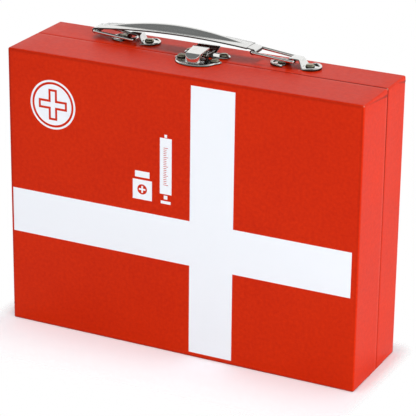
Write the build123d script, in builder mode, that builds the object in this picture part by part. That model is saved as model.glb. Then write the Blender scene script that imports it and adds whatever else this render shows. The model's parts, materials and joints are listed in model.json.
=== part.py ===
from build123d import *
import os
from math import asin, cos, degrees, radians, sin

# Toy doctor case, in millimetres. It stands on its hinge edge: X runs along the width, Y from the lid
# at the front (-Y) to the base at the back (+Y), Z up. The origin is the middle of the footprint.

# --- Driving dimensions: case -------------------------------------------------------------------
case_width = 265.0
case_height = 203.0
lid_depth = 40.0
base_depth = 32.0
board_thickness = 2.0
wrap_thickness = 0.4
lining_thickness = 0.3
strip_thickness = 0.4
tape_thickness = 0.3
fold_radius = 0.8
rim_gap = 0.3

# Collar of card inside the base, which stands proud of its rim and locates the lid.
lip_thickness = 2.0
lip_proud = 7.0
lip_seat = 6.0
lip_clearance = 0.6
lip_foot = 6.0
tape_reach = 14.0
tape_end_margin = 1.0

# --- Driving dimensions: rivets -----------------------------------------------------------------
sheet = 0.8
shank_radius = 1.5
rivet_hole_clearance = 0.05
head_radius = 3.2
head_height = 2.0
tail_radius = 2.4
tail_height = 0.8
washer_radius = 3.4
washer_thickness = 0.6

# --- Driving dimensions: handle -----------------------------------------------------------------
handle_x = -1.4
handle_behind_middle = 0.3
pivot_spacing = 121.8
wire_radius = 1.1
link_length = 30.0
link_width = 11.8
link_bend = 1.5
link_rest_angle = 5.0
left_bar_lift = 0.7
right_bar_slack = 0.25
lobe_radius = 7.3
lobe_offset = 10.2
hump_radius = 5.0
hump_foot = 1.2
arm_gap = 0.3
strap_width = 14.0
strap_rise = 3.3
flange_thickness = 1.4
flange_bar_gap = 0.25
flange_end = 2.5
tongue_thickness = 1.1
tongue_overlap = 1.2
dome_height = 4.3
dome_half_width = 4.6
dome_reach = 0.88
dome_least = 0.04
strap_stations = (0.3, 0.6, 0.82)
eye_width = 8.4
eye_wall = 1.1
running_clearance = 0.08

# --- Driving dimensions: latch. Depths are behind the seam, heights above the case top ----------
latch_x = -4.0
rivet_spread = 12.5
latch_rivet_depth = -4.0
plate_half_width = 14.5
plate_half_depth = 11.0
plate_middle_depth = -8.0
plate_back_depth = -1.0
plate_lobe_radius = 4.6
lever_pin_depth = -0.6
lever_pin_height = 4.3
lever_pin_radius = 0.9
loop_pin_radius = 0.75
crank_length = 3.3
crank_angle = 190.0
lever_width = 10.0
knuckle_radius = 3.2
lever_flat_end = -12.0
lever_slope_end = (-14.6, 5.2)
lever_nose = (-15.0, 1.2)
cheek_front_depth = -10.0
cheek_front_radius = 1.2
cheek_eye_radius = 1.9
ear_radius = 2.1
ear_gap = 0.35
ear_foot = 1.4
loop_gap = 0.35
loop_eye_radius = 1.8
loop_half_width = 8.6
loop_edge_radius = 0.6
tab_front = (6.2, 4.2)
tab_back = (8.4, 4.2)
tab_lip = (9.2, 5.0)
loop_pin_reach = 0.6
strike_depth = 10.0
strike_lobe_radius = 5.5
strike_half_depth = 5.0
hook_half_width = 5.0
hook_height = 3.2
hook_foot_depths = (4.8, 9.2)
hook_crest_depths = (5.8, 7.4)
hook_slope_share = 1.2

# --- Derived places -----------------------------------------------------------------------------
total_depth = lid_depth + base_depth
lid_face = -total_depth / 2
base_face = total_depth / 2
seam_y = lid_face + lid_depth
lid_rim = seam_y - rim_gap / 2
base_rim = seam_y + rim_gap / 2
wall_stack = wrap_thickness + board_thickness + lining_thickness
inner_half_width = case_width / 2 - wall_stack
inner_top = case_height - wall_stack
inner_floor = strip_thickness + board_thickness + lining_thickness
grip = sheet + wall_stack + washer_thickness
handle_y = (seam_y + base_face) / 2 + handle_behind_middle
latch_rivet_y = seam_y + latch_rivet_depth
plate_back = seam_y + plate_back_depth
strike_y = seam_y + strike_depth
left_bar_height = wire_radius + left_bar_lift
right_bar_height = hump_foot + hump_radius - sheet - wire_radius - right_bar_slack
hump_half_width = link_width / 2 - wire_radius - arm_gap
lobe_rivets = [(-lobe_offset, 0), (lobe_offset, 0)]
bore_radius = wire_radius + running_clearance


def rivet_points(x, y, offsets):
    """Points on the case top, offset from a fitting's middle."""
    return [(x + dx, y + dy) for dx, dy in offsets]


plate_places = {
    "left": (handle_x - pivot_spacing / 2, left_bar_height),
    "right": (handle_x + pivot_spacing / 2, right_bar_height),
}
handle_rivet_points = [
    point
    for x, _ in plate_places.values()
    for point in rivet_points(x, handle_y, lobe_rivets)
]
spread = [(-rivet_spread, 0), (rivet_spread, 0)]
latch_rivet_points = rivet_points(latch_x, latch_rivet_y, spread)
strike_rivet_points = rivet_points(latch_x, strike_y, spread)


def depth_plane(y):
    """Plane across the case at depth y, with X to the right, Z up and its normal towards -Y."""
    return Plane.XZ.offset(-y)


def side_plane(x):
    """Plane along the case at x, in which a sketch's axes are Y and Z, and its normal is +X."""
    return Plane.YZ.offset(x)


def frame_sketch(half_width, low, high):
    """Rectangle of the case's front view, from low to high."""
    with Locations((0, (low + high) / 2)):
        Rectangle(2 * half_width, high - low)


def latch_point(depth, height):
    """Side-view point given by its depth behind the seam and its height above the case top."""
    return (seam_y + depth, case_height + height)


lever_pin_at = latch_point(lever_pin_depth, lever_pin_height)
loop_pin_at = (
    lever_pin_at[0] + crank_length * cos(radians(crank_angle)),
    lever_pin_at[1] + crank_length * sin(radians(crank_angle)),
)


# --- Trays --------------------------------------------------------------------------------------
def tray(rim, face, inset, thickness, foot, has_floor):
    """Open tray between a rim and a face, inset all round from the outside of the case.

    A tray with a floor has five walls and sharp folds; the wrap has no floor and rounded folds.
    """
    facing = 1 if face < rim else -1
    depth = abs(face - rim) - inset
    half_width = case_width / 2 - inset
    top = case_height - inset
    inner_foot = foot + thickness if has_floor else foot - thickness
    with BuildPart() as shell:
        with BuildSketch(depth_plane(rim)):
            frame_sketch(half_width, foot, top)
        extrude(amount=facing * depth)
        if not has_floor:
            outer_face = shell.faces().sort_by(Axis.Y)[0 if facing > 0 else -1]
            folds = outer_face.edges().sort_by(Axis.Z)[1:]
            long_folds = shell.edges().filter_by(Axis.Y).group_by(Axis.Z)[-1]
            fillet(folds + long_folds, fold_radius)
        with BuildSketch(depth_plane(rim)):
            frame_sketch(half_width - thickness, inner_foot, top - thickness)
        extrude(amount=facing * (depth - thickness), mode=Mode.SUBTRACT)
    return shell.part


def pierce(points):
    """Cut rivet holes through the top wall."""
    with BuildSketch(Plane.XY.offset(case_height)) as holes:
        with Locations(*points):
            Circle(shank_radius + rivet_hole_clearance)
    extrude(holes.sketch, amount=-wall_stack, mode=Mode.SUBTRACT)


def tray_layers(rim, face, points):
    """Wrap, board and lining of one tray, pierced for its rivets."""
    with BuildPart() as wrap:
        add(tray(rim, face, 0, wrap_thickness, strip_thickness, False))
        pierce(points)
    with BuildPart() as board:
        add(tray(rim, face, wrap_thickness, board_thickness, strip_thickness, True))
        pierce(points)
    with BuildPart() as lining:
        inset = wrap_thickness + board_thickness
        add(tray(rim, face, inset, lining_thickness, strip_thickness + board_thickness, True))
        pierce(points)
    return wrap, board, lining


lid_wrap, lid_board, lid_lining = tray_layers(lid_rim, lid_face, latch_rivet_points)
base_wrap, base_board, base_lining = tray_layers(
    base_rim, base_face, handle_rivet_points + strike_rivet_points
)


def floor_strip(rim, far, half_width, low, thickness):
    """Flat strip along the bottom, from a rim towards the face of its tray."""
    with BuildPart() as strip:
        with BuildSketch(Plane.XY.offset(low)):
            with Locations((0, (rim + far) / 2)):
                Rectangle(2 * half_width, abs(far - rim))
        extrude(amount=thickness)
    return strip


lid_spine_strip = floor_strip(lid_rim, lid_face, case_width / 2, 0, strip_thickness)
base_spine_strip = floor_strip(base_rim, base_face, case_width / 2, 0, strip_thickness)
tape_half_width = inner_half_width - tape_end_margin
hinge_tape_lid = floor_strip(
    lid_rim, lid_rim - tape_reach, tape_half_width, inner_floor, tape_thickness
)
hinge_tape_base = floor_strip(
    base_rim, base_rim + tape_reach, tape_half_width, inner_floor, tape_thickness
)


def collar(near, far, outside):
    """Three-sided frame of card between two depths, whose outer faces are inset by outside."""
    with BuildSketch(depth_plane(far)) as frame:
        frame_sketch(inner_half_width - outside, lip_foot, inner_top - outside)
        with Locations((0, (inner_top - lip_thickness) / 2)):
            Rectangle(
                2 * (inner_half_width - lip_thickness),
                inner_top - lip_thickness,
                mode=Mode.SUBTRACT,
            )
    extrude(frame.sketch, amount=far - near)


# The collar is glued in the base and skived on the outside where it enters the lid. A notch in its
# top run clears the clinched rivets of the latch.
with BuildPart() as inner_lip:
    collar(base_rim, base_rim + lip_seat, 0)
    collar(base_rim - lip_proud, base_rim, lip_clearance)
    with BuildSketch(Plane.XY.offset(inner_top)):
        with Locations((latch_x, latch_rivet_y)):
            notch = 2 * (rivet_spread + washer_radius + lip_clearance)
            Rectangle(notch, 2 * (washer_radius + lip_clearance))
    extrude(amount=-2 * lip_thickness, mode=Mode.SUBTRACT)


# --- Rivets and washers -------------------------------------------------------------------------
dome_radius = (head_radius**2 + head_height**2) / (2 * head_height)
dome_start = degrees(asin(1 - head_height / dome_radius))
with BuildPart() as one_rivet:
    with BuildSketch(Plane.XZ):
        with BuildLine():
            CenterArc((0, head_height - dome_radius), dome_radius, dome_start, 90 - dome_start)
            Polyline(
                (head_radius, 0),
                (shank_radius, 0),
                (shank_radius, -grip),
                (tail_radius, -grip),
                (tail_radius, -grip - tail_height),
                (0, -grip - tail_height),
                (0, head_height),
            )
        make_face()
    revolve(axis=Axis.Z)


def rivets(points):
    """Domed rivets seated on a plate at the case top."""
    with BuildPart() as group:
        with Locations(*[(x, y, case_height + sheet) for x, y in points]):
            add(one_rivet.part)
    return group


def washers(points):
    """Clinch washers against the lining under the case top."""
    with BuildPart() as group:
        with BuildSketch(Plane.XY.offset(inner_top)):
            with Locations(*points):
                Circle(washer_radius)
                Circle(shank_radius + rivet_hole_clearance, mode=Mode.SUBTRACT)
        extrude(amount=-washer_thickness)
    return group


handle_rivets = rivets(handle_rivet_points)
latch_rivets = rivets(latch_rivet_points)
strike_rivets = rivets(strike_rivet_points)
handle_washers = washers(handle_rivet_points)
latch_washers = washers(latch_rivet_points)
strike_washers = washers(strike_rivet_points)


def plate_holes(points):
    """Rivet holes through a plate on the case top."""
    with BuildSketch(Plane.XY.offset(case_height)) as holes:
        with Locations(*points):
            Circle(shank_radius + rivet_hole_clearance)
    extrude(holes.sketch, amount=sheet, mode=Mode.SUBTRACT)


# --- Handle -------------------------------------------------------------------------------------
def hump_outline(radius):
    """Side view of the hump: straight feet under a half round."""
    with Locations((0, hump_foot)):
        Circle(radius)
    with Locations((0, hump_foot / 2)):
        Rectangle(2 * radius, hump_foot)


def handle_plate(x):
    """Saddle plate with two riveted lobes and a hump over the bar of its link."""
    with BuildPart() as plate:
        with BuildSketch(Plane.XY.offset(case_height)):
            with Locations((x, handle_y)):
                Rectangle(2 * lobe_offset, 2 * hump_half_width)
            with Locations(*rivet_points(x, handle_y, lobe_rivets)):
                Circle(lobe_radius)
        extrude(amount=sheet)
        plate_holes(rivet_points(x, handle_y, lobe_rivets))
        middle = Plane(origin=(x, handle_y, case_height), x_dir=(1, 0, 0), z_dir=(0, -1, 0))
        with BuildSketch(middle):
            hump_outline(hump_radius)
            with Locations((0, -hump_radius)):
                Rectangle(4 * hump_radius, 2 * hump_radius, mode=Mode.SUBTRACT)
        extrude(amount=hump_half_width, both=True)
        with BuildSketch(middle):
            hump_outline(hump_radius - sheet)
        extrude(amount=lobe_radius, both=True, mode=Mode.SUBTRACT)
    return plate


def link(x, bar_height):
    """Closed wire link whose inner bar turns in the hump and whose outer bar carries the strap."""
    pivot = Vector(x, handle_y, case_height + bar_height)
    along = Vector(-cos(radians(link_rest_angle)), 0, sin(radians(link_rest_angle)))
    flat = Plane(origin=pivot, x_dir=along, z_dir=along.cross(Vector(0, 1, 0)))
    side = link_width / 2
    with BuildPart() as wire:
        with BuildLine(flat) as route:
            corners = [(0, 0), (0, side), (link_length, side), (link_length, 0)]
            FilletPolyline(*corners, radius=link_bend)
        with BuildSketch(Plane(origin=route.line @ 0, z_dir=route.line % 0)):
            Circle(wire_radius)
        sweep()
        mirror(about=depth_plane(handle_y))
    return wire


handle_plate_left, handle_plate_right = (handle_plate(x) for x, _ in plate_places.values())
link_left, link_right = (link(x, height) for x, height in plate_places.values())

# The strap is set out on the chord between its two eyes, which rises as its two pivots do.
reach = (link_length * cos(radians(link_rest_angle)), link_length * sin(radians(link_rest_angle)))
eye_places = [
    Vector(x - reach[0], handle_y, case_height + height + reach[1])
    for x, height in plate_places.values()
]
chord = eye_places[1] - eye_places[0]
half_chord = chord.length / 2
strap_plane = Plane(
    origin=(eye_places[0] + eye_places[1]) / 2, x_dir=chord, z_dir=(0, -1, 0)
)
flange_low = wire_radius + flange_bar_gap


def arch(t):
    """Height of the strap's arch above its ends, at a share t of the half chord."""
    return strap_rise * (1 - t * t)


def strap_section(t):
    """Cross-section of the strap at a share t of the half chord: a flat flange under a dome."""
    taper = max(cos(radians(90 * min(abs(t) / dome_reach, 1))), dome_least)
    half = dome_half_width * taper**0.5
    edge = strap_width / 2
    centre = strap_plane.from_local_coords((t * half_chord, flange_low + arch(t), 0))
    with BuildSketch(Plane(origin=centre, x_dir=(0, 1, 0), z_dir=chord)) as section:
        with BuildLine():
            Polyline((-half, flange_thickness), (-edge, flange_thickness), (-edge, 0), (edge, 0))
            Polyline((edge, 0), (edge, flange_thickness), (half, flange_thickness))
            crown = (0, flange_thickness + dome_height * taper)
            ThreePointArc((half, flange_thickness), crown, (-half, flange_thickness))
        make_face()
    return section.sketch


with BuildPart() as handle_strap:
    last_share = 1 - flange_end / half_chord
    half_shares = [*strap_stations, last_share]
    shares = [-share for share in half_shares[::-1]] + [0] + half_shares
    loft([strap_section(share) for share in shares])
    for side in (-1, 1):
        root = half_chord - flange_end - tongue_overlap
        root_height = flange_low + arch(root / half_chord) + flange_thickness / 2
        with BuildSketch(strap_plane):
            with Locations((side * half_chord, 0)):
                Circle(bore_radius + eye_wall)
            with Locations((side * root, root_height)):
                Circle(tongue_thickness / 2)
            make_hull()
            with Locations((side * half_chord, 0)):
                Circle(bore_radius, mode=Mode.SUBTRACT)
        extrude(amount=eye_width / 2, both=True)


# --- Latch --------------------------------------------------------------------------------------
lever_half = lever_width / 2
ear_inside = lever_half + ear_gap
arm_inside = ear_inside + sheet + loop_gap


def both_cheeks(inside):
    """Planes for a pair of cheeks of sheet metal, either side of the latch's middle."""
    return [side_plane(latch_x + inside), side_plane(latch_x - inside - sheet)]


def side_bore(at, radius):
    """Bore across the latch for a pin."""
    with BuildSketch(side_plane(latch_x)) as hole:
        with Locations(at):
            Circle(radius)
    extrude(hole.sketch, amount=loop_half_width, both=True, mode=Mode.SUBTRACT)


with BuildPart() as latch_base_plate:
    with BuildSketch(Plane.XY.offset(case_height)):
        with Locations((latch_x, seam_y + plate_middle_depth)):
            Ellipse(plate_half_width, plate_half_depth)
        with Locations(*latch_rivet_points):
            Circle(plate_lobe_radius)
        with Locations((latch_x, plate_back + plate_half_depth)):
            Rectangle(4 * rivet_spread, 2 * plate_half_depth, mode=Mode.SUBTRACT)
    extrude(amount=sheet)
    plate_holes(latch_rivet_points)
    for cheek in both_cheeks(ear_inside):
        with BuildSketch(cheek):
            with BuildLine():
                CenterArc(lever_pin_at, ear_radius, 0, 180)
                Polyline(
                    (lever_pin_at[0] - ear_radius, lever_pin_at[1]),
                    (plate_back - ear_foot, case_height + sheet / 2),
                    (plate_back, case_height + sheet / 2),
                    (lever_pin_at[0] + ear_radius, lever_pin_at[1]),
                )
            make_face()
        extrude(amount=sheet)
    side_bore(lever_pin_at, lever_pin_radius + rivet_hole_clearance)


def pin(at, radius, half_length):
    """Straight pin across the latch."""
    with BuildPart() as rod:
        with BuildSketch(side_plane(latch_x)):
            with Locations(at):
                Circle(radius)
        extrude(amount=half_length, both=True)
        chamfer(rod.edges(), radius / 4)
    return rod


lever_pin = pin(lever_pin_at, lever_pin_radius, ear_inside + sheet)
loop_pin = pin(loop_pin_at, loop_pin_radius, arm_inside + sheet + loop_pin_reach)

lever_top = lever_pin_height + knuckle_radius
with BuildPart() as latch_lever:
    with BuildSketch(side_plane(latch_x)):
        with BuildLine():
            outer = [(lever_pin_depth, lever_top), (lever_flat_end, lever_top), lever_slope_end, lever_nose]
            inner = [(d + sheet * (i > 0), h - sheet * (i < 3)) for i, (d, h) in enumerate(outer)]
            Polyline(*[latch_point(*at) for at in outer + inner[::-1]], close=True)
        make_face()
    extrude(amount=lever_half, both=True)
    with BuildSketch(side_plane(latch_x)):
        with Locations(lever_pin_at):
            Circle(knuckle_radius)
            Circle(knuckle_radius - sheet, mode=Mode.SUBTRACT)
        with Locations((lever_pin_at[0] - knuckle_radius, lever_pin_at[1])):
            Rectangle(2 * knuckle_radius, 2 * knuckle_radius, mode=Mode.SUBTRACT)
    extrude(amount=lever_half, both=True)
    for cheek in both_cheeks(lever_half - sheet):
        with BuildSketch(cheek):
            with Locations(lever_pin_at):
                Circle(knuckle_radius)
            with Locations(loop_pin_at):
                Circle(cheek_eye_radius)
            with Locations(latch_point(cheek_front_depth, lever_top - cheek_front_radius)):
                Circle(cheek_front_radius)
            make_hull()
        extrude(amount=sheet)
    side_bore(lever_pin_at, lever_pin_radius + running_clearance)
    side_bore(loop_pin_at, loop_pin_radius + rivet_hole_clearance)


def rounded_bar(*points):
    """Bar of sheet metal with rounded edges through side-view points."""
    with Locations(*[latch_point(*at) for at in points]):
        Circle(loop_edge_radius)
    make_hull()


with BuildPart() as latch_loop:
    for cheek in both_cheeks(arm_inside):
        with BuildSketch(cheek):
            with Locations(loop_pin_at):
                Circle(loop_eye_radius)
            with Locations(latch_point(*tab_back)):
                Circle(loop_edge_radius)
            make_hull()
        extrude(amount=sheet)
    for ends in ((tab_front, tab_back), (tab_back, tab_lip)):
        with BuildSketch(side_plane(latch_x)):
            rounded_bar(*ends)
        extrude(amount=loop_half_width, both=True)
    side_bore(loop_pin_at, loop_pin_radius + running_clearance)


def hook_ridge(inset):
    """Side view of the pressed-up hook, inset for the hollow under it."""
    front, back = hook_foot_depths
    crest_front, crest_back = hook_crest_depths
    crest = hook_height - inset
    slope_inset = hook_slope_share * inset
    return [
        latch_point(front + slope_inset, 0),
        latch_point(crest_front + inset / 2, crest),
        latch_point(crest_back - inset / 2, crest),
        latch_point(back - slope_inset, 0),
    ]


with BuildPart() as strike_plate:
    with BuildSketch(Plane.XY.offset(case_height)):
        with Locations((latch_x, strike_y)):
            Rectangle(2 * rivet_spread, 2 * strike_half_depth)
        with Locations(*strike_rivet_points):
            Circle(strike_lobe_radius)
    extrude(amount=sheet)
    plate_holes(strike_rivet_points)
    for inset, mode in ((0, Mode.ADD), (sheet, Mode.SUBTRACT)):
        with BuildSketch(side_plane(latch_x)):
            with BuildLine():
                Polyline(*hook_ridge(inset), close=True)
            make_face()
        extrude(amount=hook_half_width, both=True, mode=mode)


# --- Files --------------------------------------------------------------------------------------
pieces = {
    "lid_board": lid_board,
    "lid_wrap": lid_wrap,
    "lid_lining": lid_lining,
    "lid_spine_strip": lid_spine_strip,
    "hinge_tape_lid": hinge_tape_lid,
    "base_board": base_board,
    "base_wrap": base_wrap,
    "base_lining": base_lining,
    "base_spine_strip": base_spine_strip,
    "hinge_tape_base": hinge_tape_base,
    "inner_lip": inner_lip,
    "handle_plate_left": handle_plate_left,
    "handle_plate_right": handle_plate_right,
    "handle_rivets": handle_rivets,
    "handle_washers": handle_washers,
    "link_left": link_left,
    "link_right": link_right,
    "handle_strap": handle_strap,
    "latch_base_plate": latch_base_plate,
    "latch_rivets": latch_rivets,
    "latch_washers": latch_washers,
    "lever_pin": lever_pin,
    "latch_lever": latch_lever,
    "loop_pin": loop_pin,
    "latch_loop": latch_loop,
    "strike_plate": strike_plate,
    "strike_rivets": strike_rivets,
    "strike_washers": strike_washers,
}
os.makedirs("parts", exist_ok=True)
for name, piece in pieces.items():
    piece.part.label = name
    export_step(piece.part, f"parts/{name}.step")
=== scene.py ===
"""Looks of a toy doctor case: red paper over board, a printed lid, and bright pressed fittings.

Sizes are in millimetres, in the row frame: X runs along the width, Y from the lid at the front to the
back of the base, and Z up. The origin is the middle of the footprint. Meshes are made in metres.
"""

import json
import logging
import math
from collections.abc import Callable, Iterable, Mapping, Sequence
from dataclasses import dataclass, field
from enum import Enum
from typing import Union

import bmesh
import bpy
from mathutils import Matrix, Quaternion, Vector


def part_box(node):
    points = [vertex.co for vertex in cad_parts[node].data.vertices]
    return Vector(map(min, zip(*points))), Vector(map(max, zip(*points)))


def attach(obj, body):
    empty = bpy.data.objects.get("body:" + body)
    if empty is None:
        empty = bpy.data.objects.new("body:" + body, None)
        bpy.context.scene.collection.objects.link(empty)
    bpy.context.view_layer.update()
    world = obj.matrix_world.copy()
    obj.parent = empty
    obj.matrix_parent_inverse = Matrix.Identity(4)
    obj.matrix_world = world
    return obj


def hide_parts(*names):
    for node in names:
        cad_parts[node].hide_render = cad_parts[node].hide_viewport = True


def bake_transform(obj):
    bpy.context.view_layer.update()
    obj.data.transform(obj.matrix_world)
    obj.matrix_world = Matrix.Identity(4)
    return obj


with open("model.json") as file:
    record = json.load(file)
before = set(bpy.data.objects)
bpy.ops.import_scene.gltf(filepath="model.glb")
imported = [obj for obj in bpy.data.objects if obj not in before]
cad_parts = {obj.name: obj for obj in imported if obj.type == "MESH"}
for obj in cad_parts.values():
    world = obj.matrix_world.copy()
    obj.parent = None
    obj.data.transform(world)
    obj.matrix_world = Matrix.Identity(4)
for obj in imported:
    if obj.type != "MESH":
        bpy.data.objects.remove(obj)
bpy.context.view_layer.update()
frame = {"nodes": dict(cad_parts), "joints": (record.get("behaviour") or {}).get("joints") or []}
MM = 0.001
LOG = logging.getLogger("doctor_case")

Pair = tuple[float, float]
Outline = list[Pair]
Triple = tuple[float, float, float]
Block = tuple[float, float, float, float]
Colour = tuple[float, float, float, float]
Place = Callable[[float, float, float], Vector]
Finish = bpy.types.Material
Ring = list[bmesh.types.BMVert]
WHITE = (1.0, 1.0, 1.0, 1.0)


class Side(Enum):
    """Left or right end of the case, as the sign of X."""

    LEFT = -1
    RIGHT = 1


def box_of(node: str) -> tuple[Vector, Vector]:
    """Lowest and highest corner of a CAD node, in millimetres."""
    low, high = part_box(node)
    return low / MM, high / MM


def pivot_of(joint: str) -> Vector:
    """Point on a joint's axis at rest, in millimetres."""
    found = next(j for j in frame["joints"] if j["name"] == joint)
    return Vector(found["pos_m"]) / MM


# --- Outlines in two dimensions -----------------------------------------------------------------
def turns(steps: int) -> list[float]:
    """Angles evenly round a circle, in radians."""
    return [2 * math.pi * i / steps for i in range(steps)]


def quarter(steps: int) -> list[float]:
    """Angles from 0 to a right angle, in radians."""
    return [math.radians(90 * i / steps) for i in range(steps + 1)]


def arc(centre: Pair, radius: float, start: float, end: float, steps: int) -> Outline:
    """Points on an arc between two angles in degrees, with both ends."""
    angles = [math.radians(start + (end - start) * i / steps) for i in range(steps + 1)]
    return [(centre[0] + radius * math.cos(a), centre[1] + radius * math.sin(a)) for a in angles]


def rounded(corners: Sequence[Pair], radii: Sequence[float], steps: int = 5) -> Outline:
    """Open line with its inner corners rounded.

    Args:
        corners: the line's corners.
        radii: a radius for each corner but the first and last.
        steps: segments in each bend.

    Returns:
        The line's points.
    """
    points = [corners[0]]
    for before, at, after, radius in zip(corners, corners[1:], corners[2:], radii):
        here = Vector(at)
        back, on = (Vector(before) - here).normalized(), (Vector(after) - here).normalized()
        half = back.angle(on) / 2
        centre = here + (back + on).normalized() * radius / math.sin(half)
        first = here + back * radius / math.tan(half) - centre
        last = here + on * radius / math.tan(half) - centre
        turn = first.angle_signed(last)
        start = math.atan2(first.y, first.x)
        for i in range(steps + 1):
            angle = start - turn * i / steps
            points.append((centre.x + radius * math.cos(angle), centre.y + radius * math.sin(angle)))
    return points + [corners[-1]]


def hull(circles: Sequence[Triple], steps: int = 28) -> Outline:
    """Outline stretched round some circles.

    Args:
        circles: centre and radius of each.
        steps: segments in a whole circle.

    Returns:
        The outline, counterclockwise.
    """
    points = sorted(p for x, y, r in circles for p in arc((x, y), r, 0, 360, steps)[:-1])

    def chain(ordered: Iterable[Pair]) -> Outline:
        """One side of the hull.

        Args:
            ordered: the points in order of their place.

        Returns:
            Its corners, without the last.
        """
        kept: Outline = []
        for p in ordered:
            while len(kept) > 1 and cross(kept[-2], kept[-1], p) <= 0:
                kept.pop()
            kept.append(p)
        return kept[:-1]

    return chain(points) + chain(reversed(points))


def cross(a: Pair, b: Pair, c: Pair) -> float:
    """Cross product of AB and AC, above 0 where ABC turns left."""
    return (b[0] - a[0]) * (c[1] - a[1]) - (b[1] - a[1]) * (c[0] - a[0])


def inset(outline: Sequence[Pair], amount: float) -> Outline:
    """Counterclockwise outline moved inwards along its own normals.

    Args:
        outline: the closed outline.
        amount: how far it moves.

    Returns:
        As many points as it had.
    """
    moved = []
    for i, at in enumerate(outline):
        before, after = Vector(outline[i - 1]), Vector(outline[(i + 1) % len(outline)])
        along = (after - before).normalized()
        moved.append((at[0] - along.y * amount, at[1] + along.x * amount))
    return moved


def soft_levels(low: float, high: float, radius: float, steps: int = 3) -> list[Pair]:
    """Insets and heights that round both rims of a flat piece, from its lower face to its upper."""
    lower = [(radius * (1 - math.sin(a)), low + radius * (1 - math.cos(a))) for a in quarter(steps)]
    return lower + [(depth, high + low - height) for depth, height in reversed(lower)]


# --- Meshes -------------------------------------------------------------------------------------
class Skin:
    """A closed mesh under construction from rings of points."""

    def __init__(self) -> None:
        """Start with no faces."""
        self.mesh = bmesh.new()

    def ring(self, points: Iterable[Vector]) -> Ring:
        """New vertices at points in millimetres."""
        return [self.mesh.verts.new(p * MM) for p in points]

    def bridge(self, first: Ring, second: Ring) -> None:
        """Quads between two rings of equal length."""
        for i in range(len(first)):
            self.mesh.faces.new((first[i - 1], first[i], second[i], second[i - 1]))

    def fan(self, ring: Ring) -> None:
        """Close a ring with triangles that meet at its middle.

        Args:
            ring: the ring's vertices.
        """
        middle = sum((v.co for v in ring), Vector()) / len(ring)
        hub = self.mesh.verts.new(middle)
        for i in range(len(ring)):
            self.mesh.faces.new((ring[i - 1], ring[i], hub))

    def walls(self, rings: Sequence[Iterable[Vector]]) -> list[Ring]:
        """Skin a row of rings, open at both ends.

        Args:
            rings: rings with as many points as each other.

        Returns:
            The rings' vertices.
        """
        made = [self.ring(points) for points in rings]
        for first, second in zip(made, made[1:]):
            self.bridge(first, second)
        return made

    def loft(self, rings: Sequence[Iterable[Vector]], endless: bool = False) -> "Skin":
        """Skin a row of rings.

        Args:
            rings: rings with as many points as each other.
            endless: join the last ring to the first, where else both ends are closed.

        Returns:
            This skin.
        """
        made = self.walls(rings)
        if endless:
            self.bridge(made[-1], made[0])
        else:
            self.fan(made[0])
            self.fan(made[-1])
        return self

    def piece(
        self, name: str, finish: Finish, slot: str, *nodes: str, crease: float = 35
    ) -> bpy.types.Object:
        """Finish the mesh as a named piece.

        Args:
            name: the piece's name.
            finish: its material.
            slot: the record's material slot, which is not used.
            nodes: the CAD nodes that it stands for.
            crease: the angle in degrees above which an edge is sharp.

        Returns:
            The piece, which rides on nothing yet.
        """
        bmesh.ops.recalc_face_normals(self.mesh, faces=self.mesh.faces)
        if self.mesh.calc_volume(signed=True) < 0:
            bmesh.ops.reverse_faces(self.mesh, faces=self.mesh.faces)
        data = bpy.data.meshes.new(name)
        self.mesh.to_mesh(data)
        self.mesh.free()
        data.shade_smooth()
        data.set_sharp_from_angle(angle=math.radians(crease))
        data.materials.append(finish)
        made = bpy.data.objects.new(name, data)
        bpy.context.scene.collection.objects.link(made)
        if nodes:
            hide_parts(*nodes)
        LOG.info("%s: %d faces", name, len(data.polygons))
        return made


def pillow(outline_at: Callable[[float], Sequence[Pair]], levels: Sequence[Pair], place: Place) -> Skin:
    """Closed body whose outline is drawn in or let out from level to level, each an inset and a height."""
    return Skin().loft([[place(u, v, h) for u, v in outline_at(depth)] for depth, h in levels])


def flat_at(origin: Vector) -> Place:
    """Place for an outline that lies flat on the case's top, round an origin."""
    return lambda u, v, h: origin + Vector((u, v, h))


def upright_at(x: float) -> Place:
    """Place for an outline in depth and height, whose thickness runs along the width from x."""
    return lambda u, v, h: Vector((x + h, u, v))


def sheet_section(half_width: float, thickness: float, rim: float, steps: int = 3) -> Outline:
    """Cross-section of a strip of sheet metal with soft rims.

    Args:
        half_width: half its width.
        thickness: the sheet's thickness, centred on 0.
        rim: radius of its rims.
        steps: segments in each rim.

    Returns:
        Across and height of each point, counterclockwise.
    """
    rim = min(rim, half_width * 0.9, thickness * 0.49)
    corners = ((1, -1, -90), (1, 1, 0), (-1, 1, 90), (-1, -1, 180))
    points: Outline = []
    for across, up, start in corners:
        centre = (across * (half_width - rim), up * (thickness / 2 - rim))
        points += arc(centre, rim, start, start + 90, steps)
    return points


def strip(path: Sequence[Pair], widths: Sequence[float], thickness: float, place: Place, rim: float) -> Skin:
    """Bent strip of sheet metal.

    Args:
        path: side view of the sheet's middle.
        widths: half width at each point of the path.
        thickness: the sheet's thickness.
        place: puts a point of the side view, at an offset across, in the row frame.
        rim: radius of the strip's rims.

    Returns:
        The strip's skin.
    """
    rings = []
    for i, (at, half) in enumerate(zip(path, widths)):
        before, after = Vector(path[max(i - 1, 0)]), Vector(path[min(i + 1, len(path) - 1)])
        along = (after - before).normalized()
        section = sheet_section(half, thickness, rim)
        rings.append([place(at[0] - along.y * n, at[1] + along.x * n, across) for across, n in section])
    return Skin().loft(rings)


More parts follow.
